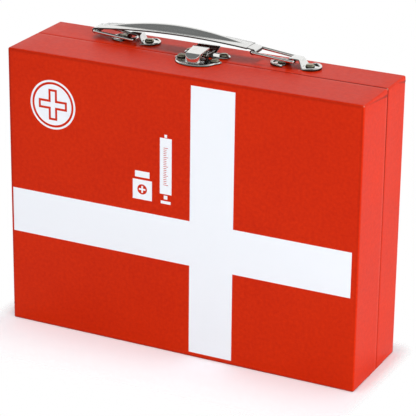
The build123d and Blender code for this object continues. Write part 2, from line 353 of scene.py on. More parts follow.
def turned(profile: Sequence[Pair], origin: Vector, axis: Vector, steps: int = 32) -> Skin:
    """Body of revolution.

    Args:
        profile: radius and distance along the axis of each ring, from end to end.
        origin: point on the axis.
        axis: direction of the axis.
        steps: segments round it.

    Returns:
        The body's skin.
    """
    aside = axis.orthogonal().normalized()
    other = axis.cross(aside).normalized()
    spokes = [aside * math.cos(a) + other * math.sin(a) for a in turns(steps)]
    return Skin().loft([[origin + axis * h + spoke * r for spoke in spokes] for r, h in profile])


def wire(route: Sequence[Vector], radius: float, normal: Vector, steps: int = 16) -> Skin:
    """Closed loop of round wire in a plane.

    Args:
        route: the wire's centreline, without its first point again at the end.
        radius: the wire's radius.
        normal: the plane's normal.
        steps: segments round the wire.

    Returns:
        The wire's skin.
    """
    rings = []
    for i, at in enumerate(route):
        along = (route[(i + 1) % len(route)] - route[i - 1]).normalized()
        aside = along.cross(normal)
        rings.append([at + (aside * math.cos(a) + normal * math.sin(a)) * radius for a in turns(steps)])
    return Skin().loft(rings, endless=True)


# --- Shader trees -------------------------------------------------------------------------------
class Socket:
    """An output of a shader tree. Arithmetic on it adds Math nodes."""

    def __init__(self, shader: "Shader", output: bpy.types.NodeSocket) -> None:
        """Wrap one output of a shader's tree."""
        self.shader = shader
        self.output = output

    def __add__(self, other: "Value") -> "Socket":
        """Sum."""
        return self.shader.math("ADD", self, other)

    def __sub__(self, other: "Value") -> "Socket":
        """Difference."""
        return self.shader.math("SUBTRACT", self, other)

    def __rsub__(self, other: "Value") -> "Socket":
        """Difference from a number."""
        return self.shader.math("SUBTRACT", other, self)

    def __mul__(self, other: "Value") -> "Socket":
        """Product."""
        return self.shader.math("MULTIPLY", self, other)

    def __truediv__(self, other: "Value") -> "Socket":
        """Quotient."""
        return self.shader.math("DIVIDE", self, other)

    def __abs__(self) -> "Socket":
        """Size without sign."""
        return self.shader.math("ABSOLUTE", self)

    __radd__ = __add__

    def least(self, other: "Value") -> "Socket":
        """Smaller of this and another value."""
        return self.shader.math("MINIMUM", self, other)

    def most(self, other: "Value") -> "Socket":
        """Larger of this and another value."""
        return self.shader.math("MAXIMUM", self, other)

    def within(self) -> "Socket":
        """Value held between 0 and 1."""
        return self.most(0).least(1)

    def step(self, low: float, high: float) -> "Socket":
        """Ramp from 0 at low to 1 at high, where high may be the smaller."""
        return ((self - low) * (1 / (high - low))).within()


Value = Union[Socket, float]


class Shader:
    """Node tree of one material, or of the world."""

    def __init__(self, name: str, world: Union[bpy.types.World, None] = None) -> None:
        """Start an empty tree for a named material, or for the world.

        Args:
            name: the material's name.
            world: the world that has the tree, where it isn't a material's.
        """
        self.material = world or bpy.data.materials.new(name)
        self.material.use_nodes = True
        self.tree = self.material.node_tree
        self.tree.nodes.clear()

    def node(
        self,
        kind: str,
        settings: Mapping[str, object],
        inputs: Mapping[Union[str, int], object],
        output: Union[str, int] = 0,
    ) -> Socket:
        """Add a node.

        Args:
            kind: the node's type.
            settings: its settings, which are set first.
            inputs: values or links of its sockets.
            output: the socket that is used.

        Returns:
            That output.
        """
        made = self.tree.nodes.new(kind)
        for key, value in settings.items():
            setattr(made, key, value)
        for key, value in inputs.items():
            if isinstance(value, Socket):
                self.tree.links.new(value.output, made.inputs[key])
            else:
                made.inputs[key].default_value = value
        return Socket(self, made.outputs[output])

    def math(self, operation: str, *values: Value) -> Socket:
        """Math node on values."""
        return self.node("ShaderNodeMath", {"operation": operation}, dict(enumerate(values)))

    def spots(self, at: Socket, stretch: Triple = (1, 1, 1)) -> Socket:
        """Coordinates stretched by a factor along each axis."""
        return self.node("ShaderNodeVectorMath", {"operation": "MULTIPLY"}, {0: at, 1: stretch})

    def millimetres(self) -> Socket:
        """The piece's own coordinates, in millimetres."""
        own = self.node("ShaderNodeTexCoord", {}, {}, "Object")
        return self.spots(own, (1 / MM, 1 / MM, 1 / MM))

    def split(self, vector: Socket) -> list[Socket]:
        """X, Y and Z of a vector."""
        parts = self.node("ShaderNodeSeparateXYZ", {}, {0: vector}).output.node
        return [Socket(self, output) for output in parts.outputs]

    def noise(self, at: Socket, pitch: float, detail: float = 3, stretch: Triple = (1, 1, 1)) -> Socket:
        """Noise about 0.5.

        Args:
            at: coordinates in millimetres.
            pitch: size of its features, in millimetres.
            detail: how many finer layers it has.
            stretch: factor on the coordinates along each axis.

        Returns:
            The noise's value.
        """
        settings = {"noise_dimensions": "3D"}
        inputs = {"Vector": self.spots(at, stretch), "Scale": 1 / pitch, "Detail": detail}
        return self.node("ShaderNodeTexNoise", settings, inputs, 0)

    def mix(self, share: Value, first: object, second: object) -> Socket:
        """Colour between two colours."""
        settings = {"data_type": "RGBA"}
        return self.node("ShaderNodeMix", settings, {0: share, 6: first, 7: second}, 2)

    def bump(self, height: Socket, distance: float) -> Socket:
        """Normal of a surface raised by height, which is 0 to 1, times a distance in millimetres."""
        return self.node("ShaderNodeBump", {}, {"Height": height, "Distance": distance * MM}, 0)

    def matt(self, colour: Socket, roughness: Socket, normal: Socket, gloss: float) -> Finish:
        """Close the tree with a Principled shader for paper, board or cloth."""
        return self.surface(Base_Color=colour, Roughness=roughness, Normal=normal, Specular_IOR_Level=gloss)

    def surface(self, **inputs: object) -> Finish:
        """Close the tree with a Principled shader, whose sockets are named with _ for a space."""
        named = {key.replace("_", " "): value for key, value in inputs.items()}
        return self.close(self.node("ShaderNodeBsdfPrincipled", {}, named))

    def close(self, shade: Socket, end: str = "ShaderNodeOutputMaterial") -> Finish:
        """Close the tree with any shader.

        Args:
            shade: the shader's output.
            end: type of the tree's last node.

        Returns:
            The material.
        """
        last = self.tree.nodes.new(end)
        self.tree.links.new(shade.output, last.inputs["Surface"])
        return self.material

    def front(self) -> Socket:
        """1 on the side that a panel's normal points to, and 0 behind it."""
        return 1 - self.node("ShaderNodeNewGeometry", {}, {}, "Backfacing")


def rgba(red: float, green: float, blue: float) -> Colour:
    """Opaque colour."""
    return (red, green, blue, 1)


# --- Finishes -----------------------------------------------------------------------------------
@dataclass(frozen=True)
class CrossPrint:
    """White print on the lid's face. Places run from the face's lower left corner."""

    left: float
    upright: Pair = (157.5, 32.6)
    upright_reach: Pair = (3.4, 197.6)
    bar: Pair = (84.5, 32.6)
    bar_reach: Pair = (1.9, 260.2)
    badge: Pair = (35.3, 167.0)
    badge_ring: Pair = (16.3, 17.7)
    badge_disc: float = 14.65
    badge_plus: Pair = (22.3, 6.7)
    badge_heart: Pair = (19.1, 3.4)
    bottle_cap: Block = (98.95, 110.75, 125.75, 130.9)
    bottle_body: Block = (96.85, 113.0, 109.3, 125.05)
    bottle_spot: Triple = (104.8, 117.4, 3.7)
    bottle_plus: Pair = (5.0, 1.25)
    barrel: Block = (118.35, 127.25, 117.0, 157.25)
    barrel_parts: tuple[Block, ...] = (
        (121.0, 124.4, 157.0, 160.5),
        (120.7, 124.85, 112.6, 116.7),
        (118.4, 127.35, 109.3, 112.75),
    )
    tick_from: float = 121.0
    tick_reach: Pair = (2.3, 3.4)
    tick_span: Pair = (123.7, 150.2)
    tick_count: int = 20
    tick_group: int = 5
    tick_long: Pair = (1.2, 0.8)
    tick_half: float = 0.17
    corner: float = 0.7
    soft: float = 0.12

    def block(self, x: Socket, z: Socket, edges: Block, corner: float = 0) -> Socket:
        """Filled rectangle.

        Args:
            x: distance from the left.
            z: height.
            edges: its left, right, lower and upper edge.
            corner: radius of its corners.

        Returns:
            1 inside it and 0 outside.
        """
        low_x, high_x, low_z, high_z = edges
        across = abs(x - (low_x + high_x) / 2) - ((high_x - low_x) / 2 - corner)
        up = abs(z - (low_z + high_z) / 2) - ((high_z - low_z) / 2 - corner)
        if not corner:
            return across.most(up).step(self.soft, -self.soft)
        away = self.away(across.most(0), up.most(0)).most(across.most(up) + corner)
        return away.step(corner + self.soft, corner - self.soft)

    def away(self, across: Socket, up: Socket) -> Socket:
        """Distance from 0."""
        return across.shader.math("SQRT", across * across + up * up)

    def disc(self, x: Socket, z: Socket, radius: float) -> Socket:
        """Filled circle round 0."""
        return self.away(x, z).step(radius + self.soft, radius - self.soft)

    def plus(self, x: Socket, z: Socket, span: float, arm: float) -> Socket:
        """Plus sign round 0, of a span and a width of its arms."""
        flat = self.block(x, z, (-span / 2, span / 2, -arm / 2, arm / 2))
        return flat.most(self.block(x, z, (-arm / 2, arm / 2, -span / 2, span / 2)))

    def ticks(self, x: Socket, z: Socket) -> Socket:
        """Graduations of the syringe's barrel, every fifth one long.

        Args:
            x: distance from the left.
            z: height.

        Returns:
            1 on a stroke and 0 beside it.
        """
        low, high = self.tick_span
        pitch = (high - low) / self.tick_count
        count = x.shader.math("ROUND", (z - low) / pitch)
        away = abs(z - low - count * pitch)
        fifth = x.shader.math("FRACT", (count + 0.5) / self.tick_group)
        long = fifth.step(*(share / self.tick_group for share in self.tick_long))
        reach = long * (self.tick_reach[1] - self.tick_reach[0]) + self.tick_reach[0]
        line = away.step(self.tick_half + self.soft, self.tick_half)
        run = (x - self.tick_from).step(0, self.soft) * (x - self.tick_from - reach).step(self.soft, 0)
        inside = (z - low).step(-1, -0.5) * (z - high).step(1, 0.5)
        return line * run * inside

    def mask(self, width: Socket, z: Socket) -> Socket:
        """Where the ink is white.

        Args:
            width: place along X, in millimetres.
            z: height.

        Returns:
            1 on white and 0 on red.
        """
        x = width - self.left
        (middle, width), (height, depth) = self.upright, self.bar
        white = self.block(x, z, (middle - width / 2, middle + width / 2, *self.upright_reach))
        white = white.most(self.block(x, z, (*self.bar_reach, height - depth / 2, height + depth / 2)))
        at = (x - self.badge[0], z - self.badge[1])
        ring = self.disc(*at, self.badge_ring[1]) - self.disc(*at, self.badge_ring[0])
        line = self.plus(*at, *self.badge_plus) - self.plus(*at, *self.badge_heart)
        disc = self.disc(*at, self.badge_disc) - line
        spot_x, spot_z, radius = self.bottle_spot
        at = (x - spot_x, z - spot_z)
        spot = self.disc(*at, radius) - self.plus(*at, *self.bottle_plus)
        bottle = self.block(x, z, self.bottle_body, self.corner) - spot
        bottle = bottle.most(self.block(x, z, self.bottle_cap, self.corner / 2))
        syringe = self.block(x, z, self.barrel) - self.ticks(x, z)
        for part in self.barrel_parts:
            syringe = syringe.most(self.block(x, z, part, self.corner))
        return white.most(ring).most(disc).most(bottle).most(syringe).within()


@dataclass(frozen=True)
class Tuck:
    """Wedge of paper turned down over each short wall, wide at one end and run out at the other."""

    start: float
    length: float
    width: float
    step: float = 0.22
    power: float = 0.8
    below: float = 0.825


@dataclass(frozen=True)
class Paper:
    """Laminated red paper with a faint linen grain, worn pale where folds meet at a corner, with painted
    shade in the seam, under the flaps, in the folds and along the foot.
    """

    name: str
    half_width: float
    top: float
    face: float
    rim: float
    tuck: Tuck
    print: Union[CrossPrint, None] = None
    deep: Colour = rgba(0.525, 0.0140, 0.0003)
    bright: Colour = rgba(0.640, 0.0265, 0.0013)
    # Colour of the painted shade in the seam, under the flaps, in the folds and along the foot.
    crease: Colour = rgba(0.19, 0.004, 0.0004)
    ink: Colour = rgba(0.87, 0.905, 0.96)
    card: Colour = rgba(0.72, 0.45, 0.36)
    gloss: float = 0.10
    roughness: float = 0.36
    grain: float = 0.45
    wear_reach: float = 2.3
    wear_fade: float = 1.5
    wear_depth: float = 0.6
    # The seam, flap, fold and foot fields below set painted shade: in the seam's gap, under the flaps' edges,
    # in the face's folds and along the foot of the walls.
    seam_line: Pair = (0.95, 0.35)
    seam_across: Pair = (-60.0, 125.0)
    seam_up: Pair = (90.0, 200.0)
    flap_line: Pair = (0.9, 0.3)
    flap_width: float = 0.55
    flap_depth: float = 0.9
    fold_line: Pair = (2.6, 1.2)
    fold_start: Pair = (0.3, 0.9)
    fold_up: Pair = (20.0, 150.0)
    fold_depth: float = 0.32
    # Painted contact shade along the foot of the walls.
    scuff_line: Pair = (1.4, 0.5)
    scuff_depth: float = 0.8
    ink_edge: Pair = (0.9, 0.5)
    cloud_pitch: float = 55.0
    mottle_pitch: float = 2.4
    fleck_pitch: float = 1.3
    fleck_cut: Pair = (0.74, 0.79)
    fleck_depth: float = 0.10
    relief: float = 0.05

    def creases(self, x: Socket, y: Socket, z: Socket, cloud: Socket) -> Socket:
        """Painted shade along the seam, under the tucked flaps, inside the face's folds and along the foot.

        Args:
            x: width.
            y: depth.
            z: height.
            cloud: broad noise about 0.5.

        Returns:
            Darkening from 0 to 1.
        """
        shader = x.shader
        inwards = 1 if self.face > self.rim else -1
        from_rim = (y - self.rim) * inwards
        open_end = x.step(*self.seam_across) * (z.step(*self.seam_up) * 0.8 + 0.2)
        seam = abs(from_rim).step(*self.seam_line) * (open_end * 0.8 + cloud * 0.2)
        share = ((from_rim - self.tuck.start) / self.tuck.length).within()
        width = shader.math("POWER", 1 - share, self.tuck.power) * self.tuck.width
        line = abs(z - (self.top - self.tuck.below) + width) - (1 - share * 4).within() * self.flap_width
        line = line.step(*self.flap_line) * (share * -0.8 + 0.95)
        line = line * (abs(x) - self.half_width).step(-0.5, -0.2) * from_rim.step(0.2, 0.9)
        edge = (abs(x) * -1 + self.half_width).least((z - self.top / 2) * -1 + self.top / 2)
        edge = edge.least(abs(z))
        on_face = (from_rim - abs(self.face - self.rim)).step(-0.7, -0.4)
        fold = edge.step(*self.fold_line) * edge.step(*self.fold_start) * on_face
        fold = fold * (z.step(*self.fold_up) * 0.8 + 0.2)
        # Painted contact shade along the foot of the walls, darker towards the bottom edge.
        foot_shade = z.step(*self.scuff_line) * (0.6 + cloud * 0.4)
        marks = seam.most(line * self.flap_depth).most(fold * self.fold_depth).most(foot_shade * self.scuff_depth)
        return marks.within()

    def worn(self, x: Socket, y: Socket, z: Socket, noise: Socket) -> Socket:
        """Wear where the folds meet at the upper corners of the rim and of the face.

        Args:
            x: width.
            y: depth.
            z: height.
            noise: what breaks the worn spots' edges.

        Returns:
            Wear from 0 to 1.
        """
        across, up = abs(x) - self.half_width, z - self.top
        marks = []
        for depth in (self.rim, self.face):
            away = x.shader.math("SQRT", across * across + up * up + (y - depth) * (y - depth))
            marks.append((away + noise * 0.5).step(self.wear_reach, self.wear_reach - self.wear_fade))
        return (marks[0].most(marks[1]) * self.wear_depth).within()

    def material(self) -> Finish:
        """Build the finish.

        Returns:
            Its material.
        """
        shader = Shader(self.name)
        at = shader.millimetres()
        x, y, z = shader.split(at)
        threads = shader.noise(at, self.grain, 2, (1, 1, 0.08))
        threads = threads + shader.noise(at, self.grain, 2, (0.08, 0.08, 1))
        cloud = shader.noise(at, self.cloud_pitch)
        fleck = shader.noise(at, self.fleck_pitch, 2).step(*self.fleck_cut)
        mottle = shader.noise(at, self.mottle_pitch)
        tone = (cloud - 0.5) * 0.7 + (mottle - 0.5) * 1.5 + (threads - 1) * 0.35 + 0.5
        colour = shader.mix(tone.within(), self.deep, self.bright)
        # Painted shade in the seam, under the flaps, in the folds and along the foot.
        colour = shader.mix(self.creases(x, y, z, cloud), colour, self.crease)
        roughness = (threads - 1) * 0.12 + (cloud - 0.5) * 0.10 + self.roughness
        if self.print:
            front = (y - self.face).step(*self.ink_edge)
            ink = shader.mix(fleck * self.fleck_depth, self.ink, self.card)
            colour = shader.mix(self.print.mask(x, z) * front, colour, ink)
        colour = shader.mix(self.worn(x, y, z, cloud + threads), colour, self.card)
        normal = shader.bump(threads * 0.4 + fleck * 0.15 + cloud * 0.2, self.relief)
        return shader.matt(colour, roughness, normal, self.gloss)


@dataclass(frozen=True)
class Cloth:
    """Book cloth in the case's red, in a plain weave."""

    name: str
    thread: float = 0.42
    slub: float = 2.2
    relief: float = 0.08
    roughness: float = 0.78
    gloss: float = 0.3
    deep: Colour = rgba(0.36, 0.012, 0.004)
    bright: Colour = rgba(0.56, 0.03, 0.010)

    def material(self) -> Finish:
        """Build the finish.

        Returns:
            Its material.
        """
        shader = Shader(self.name)
        at = shader.millimetres()
        x, y, _ = shader.split(at)
        turn = math.pi / self.thread
        warp = shader.math("SINE", x * turn)
        weft = shader.math("SINE", y * turn)
        weave = warp * weft * 0.5 + 0.5
        slub = shader.noise(at, self.slub, 3, (1, 0.25, 1))
        tone = (weave * 0.6 + slub * 0.7 - 0.15).within()
        colour = shader.mix(tone, self.deep, self.bright)
        normal = shader.bump(weave * 0.7 + slub * 0.3, self.relief)
        roughness = self.roughness - slub * 0.1
        return shader.matt(colour, roughness, normal, self.gloss)


@dataclass(frozen=True)
class Board:
    """Raw grey board of pressed waste paper, with fibres and specks, or plain paper of finer stock."""

    name: str
    light: Colour = rgba(0.50, 0.475, 0.43)
    dark: Colour = rgba(0.34, 0.315, 0.275)
    speck: Colour = rgba(0.16, 0.14, 0.12)
    specks: float = 0.55
    speck_pitch: float = 0.7
    speck_cut: Pair = (0.68, 0.74)
    cloud: float = 30.0
    fibre: float = 0.9
    relief: float = 0.09
    roughness: float = 0.86
    gloss: float = 0.3

    def material(self) -> Finish:
        """Build the finish.

        Returns:
            Its material.
        """
        shader = Shader(self.name)
        at = shader.millimetres()
        along, across = (shader.noise(at, self.fibre, 4, stretch) for stretch in ((1, 0.3, 1), (0.3, 1, 0.6)))
        fibres = along * 0.5 + across * 0.5
        cloud = shader.noise(at, self.cloud, 2)
        specks = shader.noise(at, self.speck_pitch, 1).step(*self.speck_cut)
        colour = shader.mix((fibres * 1.6 - 0.5 + cloud * 0.4).within(), self.dark, self.light)
        colour = shader.mix(specks * self.specks, colour, self.speck)
        normal = shader.bump(fibres, self.relief)
        roughness = self.roughness + (fibres - 0.5) * 0.15
        return shader.matt(colour, roughness, normal, self.gloss)


@dataclass(frozen=True)
class Plating:
    """Plate on pressed metal, with fine scratches, faint clouding and a little tarnish.

    Where inside is above 0, faces that turn down past the edge value are painted dark: painted shade under
    the fitting and in its hollows.
    """

    name: str
    bright: Colour = rgba(0.83, 0.83, 0.81)
    dull: Colour = rgba(0.60, 0.59, 0.55)
    roughness: float = 0.10
    scratch: float = 0.06
    tarnish: float = 0.35
    relief: float = 0.012
    scratch_pitch: Pair = (0.5, 0.6)
    cloud_pitch: float = 3.5
    cloud_cut: Pair = (0.48, 0.80)
    scratch_cut: Pair = (0.58, 0.75)
    # inside sets the strength of the painted shade on faces that turn down, and inner is its colour.
    inside: float = 0.0
    inner_edge: float = -0.05
    inner_fade: float = 0.4
    inner: Colour = rgba(0.035, 0.032, 0.030)

    def material(self) -> Finish:
        """Build the finish.

        Returns:
            Its material.
        """
        shader = Shader(self.name)
        at = shader.millimetres()
        along, across = self.scratch_pitch
        lines = shader.noise(at, along, 3, (0.12, 1, 1)).most(shader.noise(at, across, 3, (1, 0.12, 0.4)))
        cloud = shader.noise(at, self.cloud_pitch)
        share = cloud.step(*self.cloud_cut) * self.tarnish + lines.step(*self.scratch_cut) * 0.15
        colour = shader.mix(share.within(), self.bright, self.dull)
        roughness = lines.step(0.45, 0.8) * self.scratch + cloud * 0.05 + self.roughness
        if self.inside:
            # Painted shade: faces that turn down are darkened towards the inner colour. This stands in for
            # shadow under and inside the fitting.
            _, _, up = shader.split(shader.node("ShaderNodeTexCoord", {}, {}, "Normal"))
            underside_shade = (up + (cloud - 0.5) * 0.2).step(self.inner_edge, self.inner_edge - self.inner_fade)
            underside_shade = underside_shade * self.inside
            colour = shader.mix(underside_shade, colour, self.inner)
            roughness = underside_shade * 0.2 + roughness
        normal = shader.bump(lines * 0.5 + cloud * 0.5, self.relief)
        return shader.surface(Base_Color=colour, Roughness=roughness, Metallic=1.0, Normal=normal)


# --- Case ---------------------------------------------------------------------------------------
@dataclass
class TrayWrap:
    """Paper folded over the board of one tray and turned in over its rim."""

    name: str
    node: str
    body: str
    slot: str
    depth_sign: int
    turn_in: float
    tuck: Tuck
    fold: float = 1.1
    rim_fold: float = 0.7
    rim_cover: float = 0.12
    rim_soft: float = 0.4
    wall: float = 2.7
    paper: float = 0.4
    foot: float = 0.1
    least_corner: float = 0.12
    bulge: float = 0.35
    bulge_depth: float = 0.5
    slack: float = 0.12
    slack_from: Pair = (0.995, 0.99)
    flap_root: float = 0.3
    flap_edge: float = 0.05
    corner_steps: int = 4
    side_points: tuple[int, int] = (18, 24)
    face_rings: tuple[float, ...] = (96, 70, 45, 25, 10, 3)
    wall_rings: tuple[float, ...] = (0.1, 0.25, 0.4, 0.55, 0.7, 0.85, 0.93)
    flap_steps: int = 12
    low: Vector = field(init=False)
    high: Vector = field(init=False)

    def __post_init__(self) -> None:
        """Read the tray's place from its CAD node."""
        self.low, self.high = box_of(self.node)

    @property
    def rim(self) -> float:
        """Depth of the board's rim."""
        return self.high.y if self.depth_sign < 0 else self.low.y

    @property
    def face(self) -> float:
        """Depth of the tray's face."""
        return self.low.y if self.depth_sign < 0 else self.high.y

    @property
    def depth(self) -> float:
        """Distance from the rim to the face."""
        return abs(self.face - self.rim)

    def outline(self, amount: float) -> Outline:
        """Front view of the walls at an inset, with even points along each side.

        Args:
            amount: distance inside the case's outside.

        Returns:
            Width and height of each point, counterclockwise.
        """
        half, low, high = self.high.x - amount, self.foot + amount, self.high.z - amount
        corner = max(self.fold - amount, self.least_corner)
        across, below, above = half - corner, low + corner, high - corner
        middles = ((across, below), (across, above), (-across, above), (-across, below))
        bends = [arc(at, corner, 90 * i - 90, 90 * i, self.corner_steps) for i, at in enumerate(middles)]
        points: Outline = []
        for bend, onwards, count in zip(bends, bends[1:] + bends[:1], self.side_points * 2):
            (x, z), (x_end, z_end) = bend[-1], onwards[0]
            shares = [k / count for k in range(1, count)]
            points += bend + [(x + (x_end - x) * s, z + (z_end - z) * s) for s in shares]
        return points

    def levels(self) -> list[Pair]:
        """Section through the wrap, from the middle of the face's back to the middle of its front.

        Returns:
            Inset and depth from the rim of each ring.
        """
        back = [(self.paper + s, self.depth - self.paper) for s in (*self.face_rings, 0)]
        turned_in = [(self.paper, 0.0), (self.wall, 0.0)]
        if self.turn_in:
            proud = self.wall + self.rim_cover
            turned_in += [(self.wall, self.turn_in), (proud, self.turn_in), (proud, 0.3)]
            middle = (proud - self.rim_soft, self.rim_soft - self.rim_cover)
            turned_in += arc(middle, self.rim_soft, 0, -90, 3)[1:]
        else:
            turned_in += [(self.wall, -self.rim_cover)]
        outer = [(self.rim_fold - r, self.rim_fold - self.rim_cover - u)
                 for r, u in arc((0, 0), self.rim_fold, 90, 0, 4)]
        walls = [(0.0, self.depth * s) for s in self.wall_rings]
        fold = [(self.fold - r, self.depth - self.fold + u) for r, u in arc((0, 0), self.fold, 0, 90, 5)]
        front = [(self.fold + s, self.depth) for s in reversed(self.face_rings)]
        return back + turned_in + outer + walls + fold + front

    def place(self, x: float, z: float, depth: float) -> Vector:
        """Point of the paper, with the slight bulge and slack that glued paper on board has.

        Args:
            x: width.
            z: height.
            depth: distance from the rim towards the face.

        Returns:
            The point in the row frame.
        """
        across, up = x / self.high.x, (2 * z - self.high.z) / self.high.z
        dome = max(0.0, 1 - across**4) * max(0.0, 1 - up**4)
        on_face = max(0.0, depth - self.depth + self.bulge_depth) / self.bulge_depth
        away = depth + self.bulge * dome * min(on_face, 1)
        wall = math.sin(math.pi * min(max(depth / self.depth, 0), 1)) * self.slack
        sag = wall * (0.6 + 0.4 * math.sin(5 * across + 3 * up + self.depth_sign))
        x_in = sag * max(0.0, 1 - up**4) if abs(across) > self.slack_from[0] else 0
        z_in = sag * max(0.0, 1 - across**4) if up > self.slack_from[1] else 0
        return Vector((x - math.copysign(x_in, x), self.rim + self.depth_sign * away, z - z_in))

    def build(self, finish: Finish) -> None:
        """Make the wrap and the flaps where it is tucked over the short walls.

        Args:
            finish: their material.
        """
        wrap = pillow(self.outline, self.levels(), self.place)
        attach(wrap.piece(self.name, finish, self.slot, self.node, crease=50), self.body)
        for side in Side:
            name = f"{self.name}_flap_{side.name.lower()}"
            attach(self.flap(side).piece(name, finish, self.slot), self.body)

    def flap(self, side: Side) -> Skin:
        """Wedge of paper turned down over a short wall, wide at one end and run out at the other.

        Args:
            side: the end of the case that it lies on.

        Returns:
            The flap's skin.
        """
        rings = []
        outside, top = self.high.x, self.high.z - self.tuck.below
        for i in range(self.flap_steps + 1):
            share = i / self.flap_steps
            width = self.tuck.width * (1 - share) ** self.tuck.power + self.flap_edge
            step = self.tuck.step * (1 - share) ** 0.5 + 0.01
            foot, root = top - width, -self.flap_root
            section = ((root, top + 0.1), (-0.02, top), (step * 0.8, top - width * 0.55),
                       (step, foot + self.flap_edge), (step * 0.6, foot), (root, foot))
            y = self.rim + self.depth_sign * (self.tuck.start + share * self.tuck.length)
            rings.append([Vector((side.value * (outside + out), y, z)) for out, z in section])
        return Skin().loft(rings)


@dataclass
class Spine:
    """Strips that join the two trays along the floor: cloth outside and gummed tape inside."""

    hinge: Vector
    cloth_reach: Pair = (13.0, 13.0)
    tape_reach: Pair = (14.0, 14.0)
    cloth: float = 0.3
    cloth_inset: float = 0.3
    crease: float = 1.0
    slack: float = 5.0
    fine: float = 0.25
    fine_reach: float = 1.2
    rim: float = 0.1

    def strip(self, half_width: float, low: float, thickness: float, reach: Pair, flex: float) -> Skin:
        """Flat strip across the seam, finely divided where it bends.

        Args:
            half_width: half its length along the case.
            low: its lower face.
            thickness: its thickness.
            reach: how far it lies on the lid and on the base.
            flex: half the width that bends.

        Returns:
            The strip's skin.
        """
        bends = int(2 * flex / self.fine) + 4
        stations = [self.hinge.y - reach[0], self.hinge.y - (reach[0] + flex) / 2]
        stations += [self.hinge.y + flex * self.fine_reach * (2 * i / bends - 1) for i in range(bends + 1)]
        stations += [self.hinge.y + (reach[1] + flex) / 2, self.hinge.y + reach[1]]
        section = sheet_section(half_width, thickness, self.rim)
        middle = low + thickness / 2
        return Skin().loft([[Vector((across, y, middle + n)) for across, n in section] for y in stations])

    def build(self, cloth: Finish, tape: Finish) -> None:
        """Make both strips, which lie across the seam between the base and the lid.

        Args:
            cloth: the outer strip's material.
            tape: the inner strip's material.
        """
        outside, inside = box_of("lid_spine_strip"), box_of("hinge_tape_lid")
        strips = (
            ("spine_cloth", cloth, "red_cloth", ("lid_spine_strip", "base_spine_strip"),
             outside[1].x - self.cloth_inset, 0.0, self.cloth, self.cloth_reach, self.crease),
            ("hinge_tape", tape, "lining_tape", ("hinge_tape_lid", "hinge_tape_base"),
             inside[1].x, inside[0].z, inside[1].z - inside[0].z, self.tape_reach, self.slack),
        )
        for name, finish, slot, nodes, half, low, thickness, reach, flex in strips:
            made = self.strip(half, low, thickness, reach, flex).piece(name, finish, slot, *nodes)
            start, end = self.hinge.y + flex, self.hinge.y - flex
            start * MM
            low * MM
            end * MM
            low * MM
            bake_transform(made)


# --- Handle -------------------------------------------------------------------------------------
@dataclass
class Rivets:
    """Domed rivets, clinched over a washer inside the case."""

    sheet: float = 0.8
    head: float = 3.2
    height: float = 2.0
    shank: float = 1.5
    tail: float = 2.4
    tail_height: float = 0.8
    grip: float = 4.1
    steps: int = 32
    crown: tuple[Pair, ...] = (
        (0.1, 0.0), (0.4, 0.04), (0.62, 0.12), (0.76, 0.28), (0.87, 0.55), (0.95, 0.9), (0.99, 1.3)
    )

    def profile(self) -> Outline:
        """Half of the rivet's section, from its crown to its tail.

        Returns:
            Radius and height of each ring.
        """
        crown = [(self.head * r, self.height - d) for r, d in self.crown]
        edge = [(self.head, 0.3), (self.head - 0.05, 0.08), (self.head - 0.2, 0.0)]
        shank = [(self.shank, 0.0), (self.shank, -self.grip)]
        end = -self.grip - self.tail_height
        tail = [(self.tail - 0.2, -self.grip), (self.tail, -self.grip - 0.25), (self.tail - 0.15, end + 0.2),
                (self.tail - 0.6, end), (self.tail - 1.0, end + 0.1), (0.35, end + 0.45)]
        return crown + edge + shank + tail

    def build(self, node: str, body: str, finish: Finish, places: Sequence[Pair], base: float) -> None:
        """Make the rivets of one fitting as one piece.

        Args:
            node: the CAD node that they stand for.
            body: the body that they ride on.
            finish: their material.
            places: width and depth of each.
            base: height of the plate's top.
        """
        skin = Skin()
        for x, y in places:
            skin.loft([[Vector((x + r * math.cos(a), y + r * math.sin(a), base + h))
                        for a in turns(self.steps)] for r, h in self.profile()])
        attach(skin.piece(node + "_domed", finish, "rivet_metal", node, crease=50), body)


